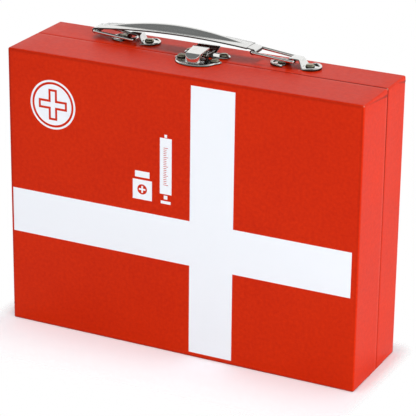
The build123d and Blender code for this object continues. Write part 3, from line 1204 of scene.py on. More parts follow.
@dataclass
class SaddlePlate:
    """Pressed plate with two riveted lobes and a hump over the bar of its link."""

    side: Side
    sheet: float = 0.8
    lobe: float = 8.1
    offset: float = 10.2
    rolled: float = 0.75
    rolled_high: float = 1.0
    rolled_end: float = 35.0
    rolled_least: float = 0.3
    rolled_overlap: float = 0.9
    rolled_steps: tuple[int, int] = (20, 14)
    hump_top: float = 6.1
    hump_flat: float = 3.7
    hump_foot: float = 6.6
    hump_bend: float = 1.5
    hump_crown: float = 0.1
    half_width: float = 4.5
    foot_fillet: float = 1.6
    flare: float = 2.2
    flare_height: float = 3.6
    flare_power: float = 1.6
    lobe_steps: int = 22
    tip: float = 0.25
    rim: float = 0.3

    @property
    def node(self) -> str:
        """CAD node that this plate stands for."""
        return f"handle_plate_{self.side.name.lower()}"

    def path(self, flare: float) -> list[Triple]:
        """Side view of one half of the sheet's middle, from the crown to the lobe's tip.

        Args:
            flare: how much wider the hump gets on each side where it meets the lobe.

        Returns:
            Distance from the middle, height and half width of each point.
        """
        base = self.sheet / 2
        top = self.hump_top - base
        corners = [(0, top), (self.hump_flat, top), (self.hump_foot, base), (self.hump_foot + 3, base)]
        bent = rounded(corners, [self.hump_bend, self.foot_fillet], 6)[:-1]
        crown = [(x, z + self.hump_crown * (1 - min(x / self.hump_flat, 1) ** 2), self.half_width)
                 for x, z in [(self.hump_flat * i / 8, top) for i in range(5)]]
        spread = [max(0.0, 1 - (z - base) / self.flare_height) for _, z in bent[1:]]
        feet = [(x, z, self.half_width + flare * low**self.flare_power)
                for (x, z), low in zip(bent[1:], spread)]
        start = math.degrees(math.acos((feet[-1][0] + 0.3 - self.offset) / self.lobe))
        angles = [math.radians(start * (1 - i / self.lobe_steps)) for i in range(self.lobe_steps + 1)]
        lobe = [(self.offset + self.lobe * math.cos(a), base, max(self.lobe * math.sin(a), self.tip))
                for a in angles]
        return crown + feet + lobe

    def build(self, finish: Finish) -> list[Pair]:
        """Make the plate.

        Args:
            finish: its material.

        Returns:
            Width and depth of its rivets.
        """
        low, high = box_of(self.node)
        middle = (low + high) / 2
        half = self.path(self.flare if self.side is Side.RIGHT else 0)
        whole = [(-x, z, w) for x, z, w in reversed(self.path(0)[1:])] + half

        def place(u: float, v: float, across: float) -> Vector:
            """Point of the side view, put across the case's top."""
            return Vector((middle.x + u, middle.y + across, low.z + v))

        skin = strip([(x, z) for x, z, _ in whole], [w for _, _, w in whole], self.sheet, place, self.rim)
        for sign in (-1, 1):
            merge(skin, self.rolled_edge(Vector((middle.x + sign * self.offset, middle.y, low.z)), sign))
        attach(skin.piece(self.node + "_pressed", finish, "bright_plating", self.node, crease=40), "base")
        return [(middle.x + sign * self.offset, middle.y) for sign in (-1, 1)]

    def rolled_edge(self, centre: Vector, sign: int) -> Skin:
        """Rolled edge round a lobe, which runs out where the lobe meets the hump.

        Args:
            centre: the lobe's middle, on the case's top.
            sign: direction of the lobe's tip.

        Returns:
            The edge's skin.
        """
        radius = self.rolled if self.side is Side.LEFT else self.rolled_high
        reach = 180 - math.degrees(math.acos((self.offset - self.hump_foot - 0.5) / self.lobe))
        rings = []
        half_count, around = self.rolled_steps
        for i in range(2 * half_count + 1):
            turn = reach * (i / half_count - 1)
            share = self.rolled_least + (1 - self.rolled_least) * (reach - abs(turn)) / self.rolled_end
            size = radius * min(1.0, share)
            out = Vector((sign * math.cos(math.radians(turn)), math.sin(math.radians(turn)), 0))
            middle = centre + out * (self.lobe - size * self.rolled_overlap) + Vector((0, 0, size))
            rings.append([middle + out * (size * math.cos(a)) + Vector((0, 0, size * math.sin(a)))
                          for a in turns(around)])
        return Skin().loft(rings)


@dataclass
class CarryHandle:
    """Arched strap on two wire links, which turn in saddle plates."""

    wire: float = 1.1
    length: float = 30.0
    width: float = 11.8
    eye_width: float = 14.4
    bend: float = 1.6
    rest: float = 5.0
    rise: float = 3.3
    gap: float = 0.25
    edge: float = 7.0
    flange: float = 1.2
    metal: float = 0.8
    dome: float = 4.3
    dome_half: float = 4.7
    flank: float = 1.3
    dome_reach: float = 0.88
    flange_end: float = 4.0
    tongue: float = 5.8
    tongue_sheet: float = 1.0
    tongue_rim: float = 0.3
    tongue_run: tuple[float, ...] = (-8.0, -4.2, -2.2, -1.2)
    eye_clearance: float = 0.08
    eye_turn: float = 285.0
    wall: float = 0.9
    least_taper: float = 0.02
    taper_power: float = 0.45
    wire_step: float = 2.5
    ring_steps: int = 22
    lip: tuple[Pair, ...] = ((0.35, 0.0), (0.1, 0.1), (0.0, 0.4))
    under_lip: tuple[Pair, ...] = ((0.0, 0.35), (0.12, 0.08), (0.4, 0.0))
    hollow: tuple[Pair, ...] = ((1.0, 0.1), (0.8, 0.55), (0.5, 0.86), (0.2, 0.98), (0.0, 1.0))

    def swing(self) -> Vector:
        """Direction from a pivot to its eye at rest."""
        angle = math.radians(self.rest)
        return Vector((-math.cos(angle), 0, math.sin(angle)))

    def build_link(self, side: Side, finish: Finish) -> None:
        """Make one wire link.

        Args:
            side: the end of the case that it is nearer.
            finish: its material.
        """
        name = f"link_{side.name.lower()}"
        pivot, along = pivot_of(name + "_hinge"), self.swing()
        near, far = self.width / 2, self.eye_width / 2
        corners = [(0, 0), (0, near), (self.length, far), (self.length, -far), (0, -near), (0, 0)]
        flat = rounded(corners, [self.bend] * 4, 6)[:-1]
        route = []
        for here, there in zip(flat, flat[1:] + flat[:1]):
            steps = max(1, round(math.dist(here, there) / self.wire_step))
            route += [pivot + along * (here[0] + (there[0] - here[0]) * i / steps)
                      + Vector((0, here[1] + (there[1] - here[1]) * i / steps, 0)) for i in range(steps)]
        skin = wire(route, self.wire, along.cross(Vector((0, 1, 0))).normalized())
        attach(skin.piece(name + "_wire", finish, "bright_plating", name, crease=60), name + "_body")

    def section(self, share: float) -> Outline:
        """Cross-section of the strap: flanges under a pressed dome, hollow beneath.

        Args:
            share: place along the half chord, from -1 to 1.

        Returns:
            Across and height of each point.
        """
        taper = max(math.cos(math.pi / 2 * min(abs(share) / self.dome_reach, 1)), self.least_taper)
        half = self.dome_half * taper**self.taper_power
        height = self.dome * taper
        slope = math.atan2(height, half) * self.flank
        radius = (math.tan(slope) * half - height) / (1 / math.cos(slope) - 1)
        top = self.flange + height
        crown = arc((0, top - radius), radius, 90, 90 - math.degrees(slope), 7)
        shoulder = crown[-1]
        crown += [(shoulder[0] + (half - shoulder[0]) * s, shoulder[1] + (self.flange - shoulder[1]) * s)
                  for s in (0.35, 0.7, 1.0)]
        outside = crown[:-1]
        foot = crown[-1][0]
        outside += [(foot + 0.15, self.flange + 0.12), (min(foot + 0.7, self.edge - 0.5), self.flange + 0.01)]
        outside += [(self.edge - inwards, self.flange - down) for inwards, down in self.lip]
        outside += [(self.edge - inwards, up) for inwards, up in self.under_lip]
        inner = max(half - self.wall, 0.5)
        lift = max(height + self.flange - self.metal, 0.06) * min(1.0, taper * 3)
        right = outside + [(inner + 0.5, 0.0)] + [(inner * y, z * lift) for y, z in self.hollow]
        return right + [(-y, z) for y, z in reversed(right[1:-1])]

    def build_strap(self, finish: Finish) -> None:
        """Make the strap, whose ends curl round the bars of the links.

        Args:
            finish: its material.
        """
        left = pivot_of("strap_hinge")
        right = pivot_of("link_right_hinge") + self.swing() * self.length
        chord = (right - left).normalized()
        up = chord.cross(Vector((0, -1, 0))).normalized()
        up = up if up.z > 0 else -up
        middle, half = (left + right) / 2, (right - left).length / 2
        last = 1 - self.flange_end / half
        count = self.ring_steps
        shares = [last * math.sin(math.pi / 2 * (i / count - 1)) for i in range(2 * count + 1)]
        rings = []
        for share in shares:
            base = self.wire + self.gap + self.rise * (1 - share * share)
            origin = middle + chord * (share * half) + up * base
            rings.append([origin + up * z + Vector((0, y, 0)) for y, z in self.section(share)])
        skin = Skin().loft(rings)
        eye = self.wire + self.eye_clearance + self.tongue_sheet / 2
        root_height = self.wire + self.gap + self.rise * (1 - last * last) + self.flange / 2
        heights = (root_height + 0.12, root_height, eye + 0.3, eye + 0.08)
        path = list(zip(self.tongue_run, heights)) + arc((0, 0), eye, 90, 90 - self.eye_turn, 26)
        for sign in (-1, 1):
            place = self.tongue_place(middle + chord * (sign * half), chord * sign, up)
            merge(skin, strip(path, [self.tongue] * len(path), self.tongue_sheet, place, self.tongue_rim))
        piece = skin.piece("handle_strap_pressed", finish, "strap_plating", "handle_strap", crease=45)
        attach(piece, "strap_body")

    def tongue_place(self, eye: Vector, outwards: Vector, up: Vector) -> Place:
        """Place for the side view of a tongue, from its eye's axis outwards and up."""
        return lambda u, v, across: eye + outwards * u + up * v + Vector((0, across, 0))


def merge(skin: Skin, other: Skin) -> None:
    """Move another skin's faces into a skin.

    Args:
        skin: the skin that is kept.
        other: the skin that is used up.
    """
    data = bpy.data.meshes.new("merged")
    other.mesh.to_mesh(data)
    other.mesh.free()
    skin.mesh.from_mesh(data)
    bpy.data.meshes.remove(data)


# --- Latch --------------------------------------------------------------------------------------
@dataclass
class DrawLatch:
    """Draw latch: a lever on a riveted plate pulls a loop over the hook of a strike plate."""

    sheet: float = 0.8
    rivet_spread: float = 12.5
    lever_half: float = 5.3
    lever_flare: float = 6.1
    cheek_half: float = 5.0
    ear_gap: float = 0.35
    loop_gap: float = 0.35
    lever_rise: float = 2.75
    lever_tilt: float = 0.126
    lever_back: float = 0.5
    lever_back_bend: float = 1.5
    lever_flat: float = -12.3
    lever_slope: float = 0.80
    nose_bow: float = 3.5
    nose_foot: float = 1.0
    cheek_open: Pair = (-12.6, -10.6)
    skirt: float = 1.3
    lever_soft: float = 0.35
    ear: float = 2.1
    ear_foot: float = 0.3
    ear_back: float = -1.4
    lever_pin_size: Pair = (0.9, 6.15)
    loop_pin_size: Pair = (0.75, 7.9)
    peen: tuple[Pair, ...] = ((0.35, 0.0), (0.75, 0.06), (1.0, 0.3))
    loop_half: float = 8.6
    loop_low: float = 4.1
    loop_tab: tuple[Triple, ...] = (
        (6.2, 0.0, -0.2), (7.5, 0.3, 0.0), (9.5, 1.0, 0.0),
        (12.0, 1.7, 0.0), (13.8, 1.9, -0.5), (15.0, 1.8, -1.6),
    )
    plate_rivets: float = -4.0
    plate_middle: float = -7.0
    plate_back: float = -1.0
    plate_half: Pair = (14.5, 11.0)
    plate_lobe: float = 4.7
    strike_middle: float = 10.0
    strike_half: float = 5.0
    strike_lobe: float = 4.6
    hook_half: float = 5.0
    hook_feet: Pair = (4.8, 9.2)
    hook_crest: Pair = (5.8, 7.4)
    hook_height: float = 3.2
    hook_foot: float = 0.2
    hook_rings: tuple[float, ...] = (-1, -0.97, -0.5, 0, 0.5, 0.97, 1)
    rim: float = 0.3
    cheek_rim: float = 0.25
    bead: tuple[Pair, ...] = ((0.6, 0.28), (0.95, 0.34), (1.3, 0.22), (1.65, 0.0), (2.2, -0.06))
    nose_turn: float = 80.0
    nose_steps: int = 8
    side_steps: int = 14
    search_reach: float = 40.0
    search_halvings: int = 22
    lever_pin: Vector = field(init=False)
    loop_pin: Vector = field(init=False)
    seam: float = field(init=False)
    top: float = field(init=False)

    def __post_init__(self) -> None:
        """Read the latch's places from the frame."""
        self.lever_pin = pivot_of("latch_lever_hinge")
        self.loop_pin = pivot_of("latch_loop_hinge")
        self.seam = pivot_of("lid_hinge").y
        self.top = box_of("latch_base_plate")[0].z

    def rivet_places(self, depth: float) -> list[Pair]:
        """Width and depth of a pair of rivets, at a depth from the seam."""
        return [(self.lever_pin.x + sign * self.rivet_spread, self.seam + depth) for sign in (-1, 1)]

    def around(self, shapes: Callable[[float, float], float], steps: int = 120) -> Outline:
        """Outline of a star-shaped plate.

        Args:
            shapes: above 0 where a point lies inside the plate.
            steps: points of the outline.

        Returns:
            The outline round 0, with its inner corners eased.
        """
        reach = []
        for angle in turns(steps):
            low, high = 0.0, self.search_reach
            for _ in range(self.search_halvings):
                middle = (low + high) / 2
                inside = shapes(middle * math.cos(angle), middle * math.sin(angle)) > 0
                low, high = (middle, high) if inside else (low, middle)
            reach.append(low)
        for _ in range(2):
            reach = [(reach[i - 1] + 2 * r + reach[(i + 1) % steps]) / 4 for i, r in enumerate(reach)]
        return [(r * math.cos(a), r * math.sin(a)) for r, a in zip(reach, turns(steps))]

    def lobe(self, u: float, v: float, radius: float) -> float:
        """Above 0 inside a circle round 0."""
        return 1 - (u**2 + v**2) / radius**2

    def pressed(self, outline: Outline, origin: Vector) -> Skin:
        """Flat plate with soft rims and a shallow bead pressed along its border.

        Args:
            outline: its outline.
            origin: its middle, on the case's top.

        Returns:
            The plate's skin.
        """
        levels = soft_levels(0, self.sheet, self.rim)
        levels += [(amount, self.sheet + rise) for amount, rise in self.bead]
        return pillow(lambda amount: inset(outline, amount), levels, flat_at(origin))

    def cheeks(self, outline: Outline, inside: float, skin: Skin) -> None:
        """Add a pair of upright plates, either side of the latch's middle.

        Args:
            outline: their side view, in depth and height.
            inside: distance of their inner faces from the middle.
            skin: takes the plates.
        """
        levels = soft_levels(-self.sheet / 2, self.sheet / 2, self.cheek_rim)
        for sign in (-1, 1):
            place = upright_at(self.lever_pin.x + sign * (inside + self.sheet / 2))
            merge(skin, pillow(lambda amount: inset(outline, amount), levels, place))

    def build_plate(self, finish: Finish) -> None:
        """Make the plate under the lever, with its ears.

        Args:
            finish: its material.
        """
        rivets = self.rivet_places(self.plate_rivets)
        centre = Vector((self.lever_pin.x, self.seam + self.plate_middle, self.top))
        back = self.plate_back - self.plate_middle

        def shapes(u: float, v: float) -> float:
            """An ellipse and two lobes, cut straight at the back.

            Args:
                u: distance across from the plate's middle.
                v: distance in depth from it.

            Returns:
                Above 0 inside the plate.
            """
            dome = 1 - (u / self.plate_half[0]) ** 2 - ((v + 1) / self.plate_half[1]) ** 2
            lobes = [self.lobe(u + centre.x - x, v + centre.y - y, self.plate_lobe) for x, y in rivets]
            return min(max(dome, *lobes), back - v)

        skin = self.pressed(self.around(shapes), centre)
        y, z, foot = self.lever_pin.y, self.lever_pin.z, self.ear_foot
        ear = hull([(y, z, self.ear), (y - self.ear + foot, self.top + foot, foot),
                    (self.seam + self.ear_back, self.top + foot, foot)])
        self.cheeks(ear, self.cheek_half + self.ear_gap, skin)
        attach(skin.piece("latch_base_plate_pressed", finish, "bright_plating", "latch_base_plate"), "lid")

    def lever_outline(self, amount: float) -> Outline:
        """Plan of the lever at an inset: flaring sides and a half-round front.

        Args:
            amount: distance inside its outside.

        Returns:
            Width from the middle and depth of each point, counterclockwise.
        """
        front, back = self.seam + self.lever_flat, self.lever_pin.y + self.lever_back + self.lever_back_bend
        half, flare = self.lever_half - amount, self.lever_flare - amount
        bow = self.nose_bow - amount * 0.6
        count = self.nose_steps
        angles = [math.radians(self.nose_turn * i / count) for i in range(-count, count + 1)]
        nose = [(half * math.sin(a), front - bow * math.cos(a)) for a in angles]
        end = back - amount
        sides = [i / self.side_steps for i in range(self.side_steps + 1)]
        right = [(half + (flare - half) * s, front + (end - 0.5 - front) * s) for s in sides]
        rear = [(flare - 0.15, end - 0.15), (flare - 0.6, end), (flare * 0.4, end)]
        rear += [(-x, y) for x, y in reversed(rear)]
        return nose + right + rear + [(-x, y) for x, y in reversed(right)]

    def lever_top(self, y: float) -> float:
        """Height of the lever's outside: a face that rises to the back, and a cut over the nose.

        Args:
            y: depth.

        Returns:
            The height.
        """
        knee = self.seam + self.lever_flat
        rise = self.lever_pin.z + self.lever_rise + self.lever_tilt * (y - knee)
        height = min(rise, self.lever_pin.z + self.lever_rise - self.lever_slope * (knee - y))
        behind = y - self.lever_pin.y - self.lever_back
        if behind > 0:
            height -= self.lever_back_bend - math.sqrt(max(self.lever_back_bend**2 - behind**2, 0.0))
        return height

    def lever_foot(self, y: float) -> float:
        """Height of the lower edge of the lever's nose and skirt.

        Args:
            y: depth.

        Returns:
            The height.
        """
        open_from, open_to = (self.seam + depth for depth in self.cheek_open)
        nose, skirt = self.top + self.nose_foot, self.lever_top(y) - self.skirt
        share = min(max((y - open_from) / (open_to - open_from), 0), 1)
        return nose + (skirt - nose) * math.sin(math.pi / 2 * share)

    def build_lever(self, finish: Finish) -> None:
        """Make the lever: a cap open beneath, with a half-round nose, on two cheeks.

        Args:
            finish: its material.
        """
        across, soft = self.lever_pin.x, self.lever_soft

        def level(amount: float, share: float, drop: float) -> list[Vector]:
            """Ring of the lever's cap.

            Args:
                amount: its inset.
                share: its height, as a share of the wall's.
                drop: how far below the cap's top the wall ends.

            Returns:
                The ring's points.
            """
            ring = []
            for x, y in self.lever_outline(amount):
                high, low = self.lever_top(y) - drop, self.lever_foot(y)
                ring.append(Vector((across + x, y, low + (high - low) * share)))
            return ring

        rings = [level(amount, 1, self.sheet) for amount in (3.4, 2.0, self.sheet + 0.1)]
        rings.append(level(self.sheet, 1, self.sheet + 0.15))
        rings += [level(self.sheet, s, soft + self.sheet) for s in (0.6, 0.3, 0.05)]
        rings += [level(self.sheet * s, 0, soft) for s in (0.75, 0.25)]
        rings += [level(0, s, soft) for s in (0.05, 0.3, 0.6, 0.9)]
        rings += [level(soft * (1 - math.cos(a)), 1, soft * (1 - math.sin(a))) for a in quarter(3)]
        rings += [level(amount, 1, 0) for amount in (1.0, 2.0, 3.4)]
        skin = Skin()
        made = skin.walls(rings)
        self.rib(skin, made[0])
        self.rib(skin, made[-1])
        pin, loop = self.lever_pin, self.loop_pin
        cheek = hull([(pin.y, pin.z, 3.2), (loop.y, loop.z, 1.9), (self.seam - 10, self.top + 6.0, 1.2),
                      (self.seam - 1.5, self.top + 7.2, 0.9)])
        self.cheeks(cheek, self.cheek_half - self.sheet, skin)
        lever = skin.piece("latch_lever_pressed", finish, "bright_plating", "latch_lever", crease=32)
        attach(lever, "lever")

    def rib(self, skin: Skin, ring: Ring) -> None:
        """Close a long ring, symmetric about its middle, with quads across it.

        Args:
            skin: the skin that the ring is part of.
            ring: the ring.
        """
        count, nose = len(ring), self.nose_steps
        for i in range((count - 1) // 2):
            a, b = ring[(nose + i) % count], ring[(nose + i + 1) % count]
            c, d = ring[(nose - i - 1) % count], ring[(nose - i) % count]
            corners = list(dict.fromkeys((a, b, c, d)))
            if len(corners) > 2:
                skin.mesh.faces.new(corners)

    def build_loop(self, finish: Finish) -> None:
        """Make the loop: two arms and a bar that hooks behind the strike's ridge.

        Args:
            finish: its material.
        """
        arm_inside = self.cheek_half + self.ear_gap + self.sheet + self.loop_gap
        low = self.top + self.loop_low
        arm = hull([(self.loop_pin.y, self.loop_pin.z, 1.8), (self.seam + 8.4, low + 0.2, 0.6)])
        skin = Skin()
        self.cheeks(arm, arm_inside, skin)
        path = [(self.seam + y, low + z) for y, z, _ in self.loop_tab]
        widths = [self.loop_half + wider for _, _, wider in self.loop_tab]
        across = self.lever_pin.x
        merge(skin, strip(path, widths, self.sheet, lambda u, v, w: Vector((across + w, u, v)), self.rim))
        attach(skin.piece("latch_loop_bent", finish, "bright_plating", "latch_loop"), "loop")

    def build_pins(self, finish: Finish) -> None:
        """Make both pins, with peened ends.

        Args:
            finish: their material.
        """
        for node, at, body, (radius, half) in (
            ("lever_pin", self.lever_pin, "lid", self.lever_pin_size),
            ("loop_pin", self.loop_pin, "lever", self.loop_pin_size),
        ):
            end = [(radius * share, half - inwards) for share, inwards in self.peen]
            profile = [(r, -h) for r, h in end] + [(r, h) for r, h in reversed(end)]
            skin = turned(profile, at, Vector((1, 0, 0)), 24)
            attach(skin.piece(node + "_peened", finish, "rivet_metal", node), body)

    def build_strike(self, finish: Finish) -> None:
        """Make the strike plate with its pressed-up hook.

        Args:
            finish: its material.
        """
        centre = Vector((self.lever_pin.x, self.seam + self.strike_middle, self.top))

        def shapes(u: float, v: float) -> float:
            """A band between two lobes.

            Args:
                u: distance across from the plate's middle.
                v: distance in depth from it.

            Returns:
                Above 0 inside the plate.
            """
            lobes = [self.lobe(u - sign * self.rivet_spread, v, self.strike_lobe) for sign in (-1, 1)]
            band = min(1 - abs(u) / self.rivet_spread, 1 - abs(v) / self.strike_half)
            return max(band, *lobes)

        skin = self.pressed(self.around(shapes), centre)
        feet, crest, height, foot = self.hook_feet, self.hook_crest, self.hook_height, self.hook_foot
        corners = [(feet[0], foot), (crest[0], height), (crest[1], height), (feet[1], foot)]
        outside = rounded(corners, [0.5, 0.5], 4)
        inner = [(feet[0] + 0.95, foot), (crest[0] + 0.4, height - self.sheet),
                 (crest[1] - 0.4, height - self.sheet), (feet[1] - 0.95, foot)]
        side = [(self.seam + depth, self.top + high) for depth, high in outside + inner[::-1]]
        stations = [centre.x + share * self.hook_half for share in self.hook_rings]
        rings = [[Vector((x, y, z)) for y, z in side] for x in stations]
        hook = Skin()
        made = hook.walls(rings)
        for ring in (made[0], made[-1]):
            hook.mesh.faces.new(ring)
        merge(skin, hook)
        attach(skin.piece("strike_plate_pressed", finish, "bright_plating", "strike_plate"), "base")


# --- Studio -------------------------------------------------------------------------------------
@dataclass(frozen=True)
class Lamp:
    """Soft square lamp, or a sun whose size is an angle, aimed at the case."""

    name: str
    place: Triple
    size: float
    power: float
    kind: str = "AREA"

    def build(self, aim: Vector, lit: bpy.types.Collection) -> None:
        """Make the lamp.

        Args:
            aim: the point that it faces.
            lit: collection that says what it lights.
        """
        data = bpy.data.lights.new(self.name, self.kind)
        data.energy = self.power
        setattr(data, "angle" if self.kind == "SUN" else "size", self.size)
        made = bpy.data.objects.new(self.name, data)
        made.location = self.place
        made.rotation_euler = (aim - Vector(self.place)).to_track_quat("-Z", "Y").to_euler()
        made.visible_glossy = False
        made.light_linking.receiver_collection = lit
        bpy.context.scene.collection.objects.link(made)


@dataclass
class Studio:
    """Camera, floor, lamps and surroundings, in metres, but the sheet's reach in millimetres."""

    camera_at: Vector = field(default_factory=lambda: Vector((0.6147, -1.2444, 0.6418)))
    camera_aim: Vector = field(default_factory=lambda: Vector((0.0045, 0.0003, 0.0970)))
    roll: float = 0.687
    lens: float = 185.9
    sensor: float = 36.0
    aim: Vector = field(default_factory=lambda: Vector((0, 0, 0.1)))
    ambient: float = 0.2
    floor_half: float = 1.6
    floor_cloud: float = 90.0
    floor_roughness: float = 0.9
    floor_tones: tuple[Colour, Colour] = (rgba(0.74, 0.74, 0.74), rgba(0.77, 0.77, 0.77))
    sheet_tone: Colour = rgba(0.895, 0.89, 0.92)
    sheet_reach: Pair = (12.0, 85.0)
    sheet_fade: Pair = (4.4, 5.9)
    sheet_half: float = 0.4
    sheet_lift: float = 0.00005
    flag_radius: float = 1.4
    flag_height: float = 0.2
    flag_reach: Pair = (-1.7, 0.9)
    flag_span: Pair = (52.0, 188.0)
    flag_edge: Colour = rgba(0.95, 0.95, 0.94)
    flag_tones: tuple[tuple[float, float, Colour], ...] = (
        (52.0, 70.0, rgba(0.19, 0.195, 0.195)),
        (134.0, 146.0, rgba(0.85, 0.85, 0.84)),
        (165.0, 172.0, rgba(0.008, 0.008, 0.009)),
    )
    lamps: tuple[Lamp, ...] = (
        Lamp("key_lamp", (2.0, -0.72, 0.6), 1.0, 45),
        Lamp("top_lamp", (-0.3, 0.8, 1.85), 0.6, 19.5),
        Lamp("fill_lamp", (-0.6, -2.0, 0.8), 1.3, 15.8),
        Lamp("back_lamp", (0.9, 1.9, 1.3), 1.4, 8),
        Lamp("under_lamp", (0.0, 0.0, -2.0), 1.2, 22),
    )
    sheet_lamp: Lamp = Lamp("sheet_lamp", (0.2, -0.5, 2.0), math.radians(75), 2.9, "SUN")

    def build(self) -> None:
        """Make the whole studio."""
        self.build_camera()
        self.build_world()
        sheet = self.build_floor()
        self.build_flag()
        for lamp in self.lamps:
            lamp.build(self.aim, self.lit("all_but_sheet", sheet, "EXCLUDE"))
        self.sheet_lamp.build(self.aim, self.lit("sheet_only", sheet, "INCLUDE"))
        bpy.context.scene.view_settings.view_transform = "Standard"

    def lit(self, name: str, sheet: bpy.types.Object, state: str) -> bpy.types.Collection:
        """Make a collection that a lamp uses to light the sheet alone, or all but the sheet.

        Args:
            name: its name.
            sheet: the sheet on the floor.
            state: INCLUDE or EXCLUDE.

        Returns:
            The collection.
        """
        made = bpy.data.collections.new(name)
        made.objects.link(sheet)
        made.collection_objects[0].light_linking.link_state = state
        return made

    def build_camera(self) -> None:
        """Make the camera."""
        data = bpy.data.cameras.new("camera")
        data.lens, data.sensor_width = self.lens, self.sensor
        data.clip_start, data.clip_end = 0.05, 20
        made = bpy.data.objects.new("camera", data)
        made.location = self.camera_at
        look = (self.camera_aim - self.camera_at).to_track_quat("-Z", "Y")
        made.rotation_mode = "QUATERNION"
        made.rotation_quaternion = look @ Quaternion((0, 0, 1), math.radians(self.roll))
        bpy.context.scene.collection.objects.link(made)
        bpy.context.scene.camera = made

    def build_world(self) -> None:
        """Make surroundings that look white, and light the case at a plain level."""
        world = bpy.data.worlds.new("surroundings")
        bpy.context.scene.world = world
        shader = Shader("surroundings", world)
        seen, mirrored, passed = (shader.node("ShaderNodeLightPath", {}, {}, f"Is {ray} Ray")
                                  for ray in ("Camera", "Glossy", "Transmission"))
        dim, full = (shader.node("ShaderNodeBackground", {}, {"Color": WHITE, "Strength": strength})
                     for strength in (self.ambient, 1.0))
        share = seen.most(mirrored).most(passed)
        mixed = shader.node("ShaderNodeMixShader", {}, {0: share, 1: dim, 2: full})
        shader.close(mixed, "ShaderNodeOutputWorld")

    def build_floor(self) -> bpy.types.Object:
        """Make the pale floor, and the sheet on it that shows the case's shadow and runs out to white.

        Returns:
            The sheet.
        """
        shader = Shader("floor_white")
        at = shader.millimetres()
        white = shader.mix(shader.noise(at, self.floor_cloud), *self.floor_tones)
        pale = shader.surface(Base_Color=white, Roughness=self.floor_roughness, Alpha=shader.front())
        floor = self.panel("floor", pale, self.floor_half)
        floor.visible_camera = floor.visible_shadow = False
        shader = Shader("floor_sheet")
        x, y, _ = shader.split(shader.millimetres())
        low, high = box_of("lid_wrap")[0], box_of("base_wrap")[1]
        left, right = self.sheet_fade
        side = ((x - high.x) * right).most((x * -1 - high.x) * left).most(0)
        ends = (y * -1 + low.y).most((y - high.y) * left).most(0)
        away = shader.math("SQRT", side * side + ends * ends)
        share = away.step(self.sheet_reach[1], self.sheet_reach[0])
        share = share * share * (3 - share * 2) * shader.front()
        clear = shader.node("ShaderNodeBsdfTransparent", {}, {"Color": WHITE})
        pale = shader.node("ShaderNodeBsdfDiffuse", {}, {"Color": self.sheet_tone})
        mixed = shader.node("ShaderNodeMixShader", {}, {0: share, 1: clear, 2: pale})
        sheet = self.panel("floor_sheet", shader.close(mixed), self.sheet_half)
        sheet.location = (0, 0, self.sheet_lift)
        sheet.visible_shadow = sheet.visible_diffuse = sheet.visible_glossy = False
        return sheet

    def build_flag(self) -> None:
        """Bend a grey card over the front of the case, which bright metal mirrors and nothing else sees."""
        shader = Shader("flag_grey")
        _, y, z = shader.split(shader.spots(shader.node("ShaderNodeTexCoord", {}, {}, "Object")))
        turn = shader.math("FLOORED_MODULO", shader.math("ARCTAN2", z, y) * (180 / math.pi), 360.0)
        grey: Union[Socket, Colour] = self.flag_edge
        for start, end, tone in self.flag_tones:
            grey = shader.mix(turn.step(start, end), grey, tone)
        finish = shader.close(shader.node("ShaderNodeEmission", {}, {"Color": grey, "Strength": 1.0}))
        skin = Skin()
        low, high = self.flag_span
        angles = [math.radians(low + (high - low) * i / 24) for i in range(25)]
        rings = [skin.ring([Vector((x, math.cos(a), math.sin(a))) * self.flag_radius / MM
                            for x in self.flag_reach]) for a in angles]
        for first, second in zip(rings, rings[1:]):
            skin.mesh.faces.new((first[0], first[1], second[1], second[0]))
        data = bpy.data.meshes.new("flag")
        skin.mesh.to_mesh(data)
        skin.mesh.free()
        flag = self.shown("flag", data, finish)
        flag.location = (0, 0, self.flag_height)
        flag.visible_camera = flag.visible_diffuse = flag.visible_shadow = False

    def panel(self, name: str, finish: Finish, half: float) -> bpy.types.Object:
        """Make a flat square panel that isn't part of the case.

        Args:
            name: its name.
            finish: its material.
            half: half its side.

        Returns:
            The panel.
        """
        data = bpy.data.meshes.new(name)
        corners = [(x * half, y * half, 0) for x, y in ((-1, -1), (1, -1), (1, 1), (-1, 1))]
        data.from_pydata(corners, [], [(0, 1, 2, 3)])
        made = self.shown(name, data, finish)
        return made

    def shown(self, name: str, data: bpy.types.Mesh, finish: Finish) -> bpy.types.Object:
        """Put a mesh in the scene.

        Args:
            name: its name.
            data: the mesh.
            finish: its material.

        Returns:
            The object.
        """
        data.materials.append(finish)
        made = bpy.data.objects.new(name, data)
        bpy.context.scene.collection.objects.link(made)
        return made


def dress(finish: Finish, *nodes: str) -> None:
    """Give CAD nodes that are shown as they are their material.

    Args:
        finish: the material.
        nodes: the CAD nodes' names.
    """
    for node in nodes:
        for socket in frame["nodes"][node].material_slots:
            socket.link = "OBJECT"
            socket.material = finish
        LOG.info("%s: dressed in %s", node, finish.name)


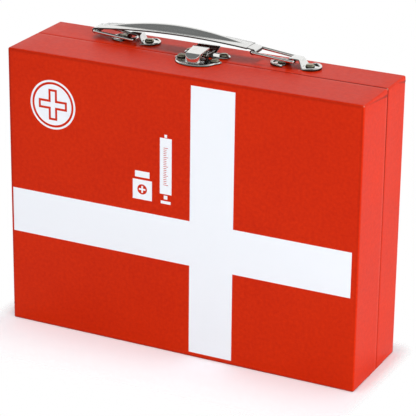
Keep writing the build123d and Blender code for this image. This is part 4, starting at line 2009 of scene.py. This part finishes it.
def main() -> None:
    """Build the case, its fittings and the studio."""
    logging.basicConfig(level=logging.INFO, format="%(name)s: %(message)s")
    low, high = box_of("lid_wrap")
    base_low, base_high = box_of("base_wrap")
    lid_tuck, base_tuck = Tuck(0.7, 34.0, 3.6), Tuck(30.9, -14.0, 3.2)
    ink = CrossPrint(left=low.x)
    printed = Paper("paper_printed", high.x, high.z, low.y, high.y, lid_tuck, ink).material()
    plain = Paper("paper_red", base_high.x, base_high.z, base_high.y, base_low.y, base_tuck).material()
    TrayWrap("lid_wrap_folded", "lid_wrap", "lid", "printed_paper", -1, 4.0, lid_tuck).build(printed)
    TrayWrap("base_wrap_folded", "base_wrap", "base", "red_paper", 1, 0.0, base_tuck).build(plain)
    board = Board("board_grey").material()
    lining = Board(
        "paper_lining", light=rgba(0.86, 0.85, 0.82), dark=rgba(0.78, 0.77, 0.735),
        speck=rgba(0.6, 0.57, 0.5), specks=0.25, fibre=0.5, relief=0.04, roughness=0.8,
    ).material()
    tape = Board(
        "paper_tape", light=rgba(0.80, 0.785, 0.74), dark=rgba(0.70, 0.685, 0.64),
        speck=rgba(0.5, 0.47, 0.4), specks=0.2, fibre=0.35, relief=0.05, roughness=0.72,
    ).material()
    Spine(pivot_of("lid_hinge")).build(Cloth("cloth_red").material(), tape)
    dress(board, "lid_board", "base_board", "inner_lip")
    dress(lining, "lid_lining", "base_lining")
    steel = Plating(
        "steel_washer", bright=rgba(0.56, 0.56, 0.55), dull=rgba(0.40, 0.39, 0.37),
        roughness=0.34, scratch=0.12, tarnish=0.5, relief=0.03,
    ).material()
    dress(steel, "handle_washers", "latch_washers", "strike_washers")
    nickel = Plating("plating_bright").material()
    # These finishes paint shade on their faces that turn down: under the plates, strap, lever and rivet
    # heads.
    pressed = Plating("plating_pressed", inside=0.95, inner_edge=0.55).material()
    lever = Plating("plating_lever", inside=0.95, inner=rgba(0.20, 0.195, 0.18)).material()
    strap = Plating(
        "plating_strap", bright=rgba(0.80, 0.80, 0.785), dull=rgba(0.62, 0.62, 0.59),
        roughness=0.16, scratch=0.05, tarnish=0.2, inside=0.95, inner_edge=0.5,
    ).material()
    brass = Plating(
        "rivet_dull", bright=rgba(0.34, 0.32, 0.235), dull=rgba(0.20, 0.185, 0.13),
        roughness=0.20, scratch=0.08, tarnish=0.6, relief=0.02, inside=0.9, inner_edge=0.45,
    ).material()
    plates = [SaddlePlate(side).build(pressed) for side in Side]
    handle = CarryHandle()
    for side in Side:
        handle.build_link(side, nickel)
    handle.build_strap(strap)
    latch = DrawLatch()
    latch.build_plate(pressed)
    latch.build_lever(lever)
    latch.build_loop(pressed)
    latch.build_pins(brass)
    latch.build_strike(pressed)
    rivets = Rivets()
    base = latch.top + rivets.sheet
    rivets.build("handle_rivets", "base", brass, [at for pair in plates for at in pair], base)
    rivets.build("latch_rivets", "lid", brass, latch.rivet_places(latch.plate_rivets), base)
    rivets.build("strike_rivets", "base", brass, latch.rivet_places(latch.strike_middle), base)
    Studio().build()


if __name__ == "__main__":
    main()
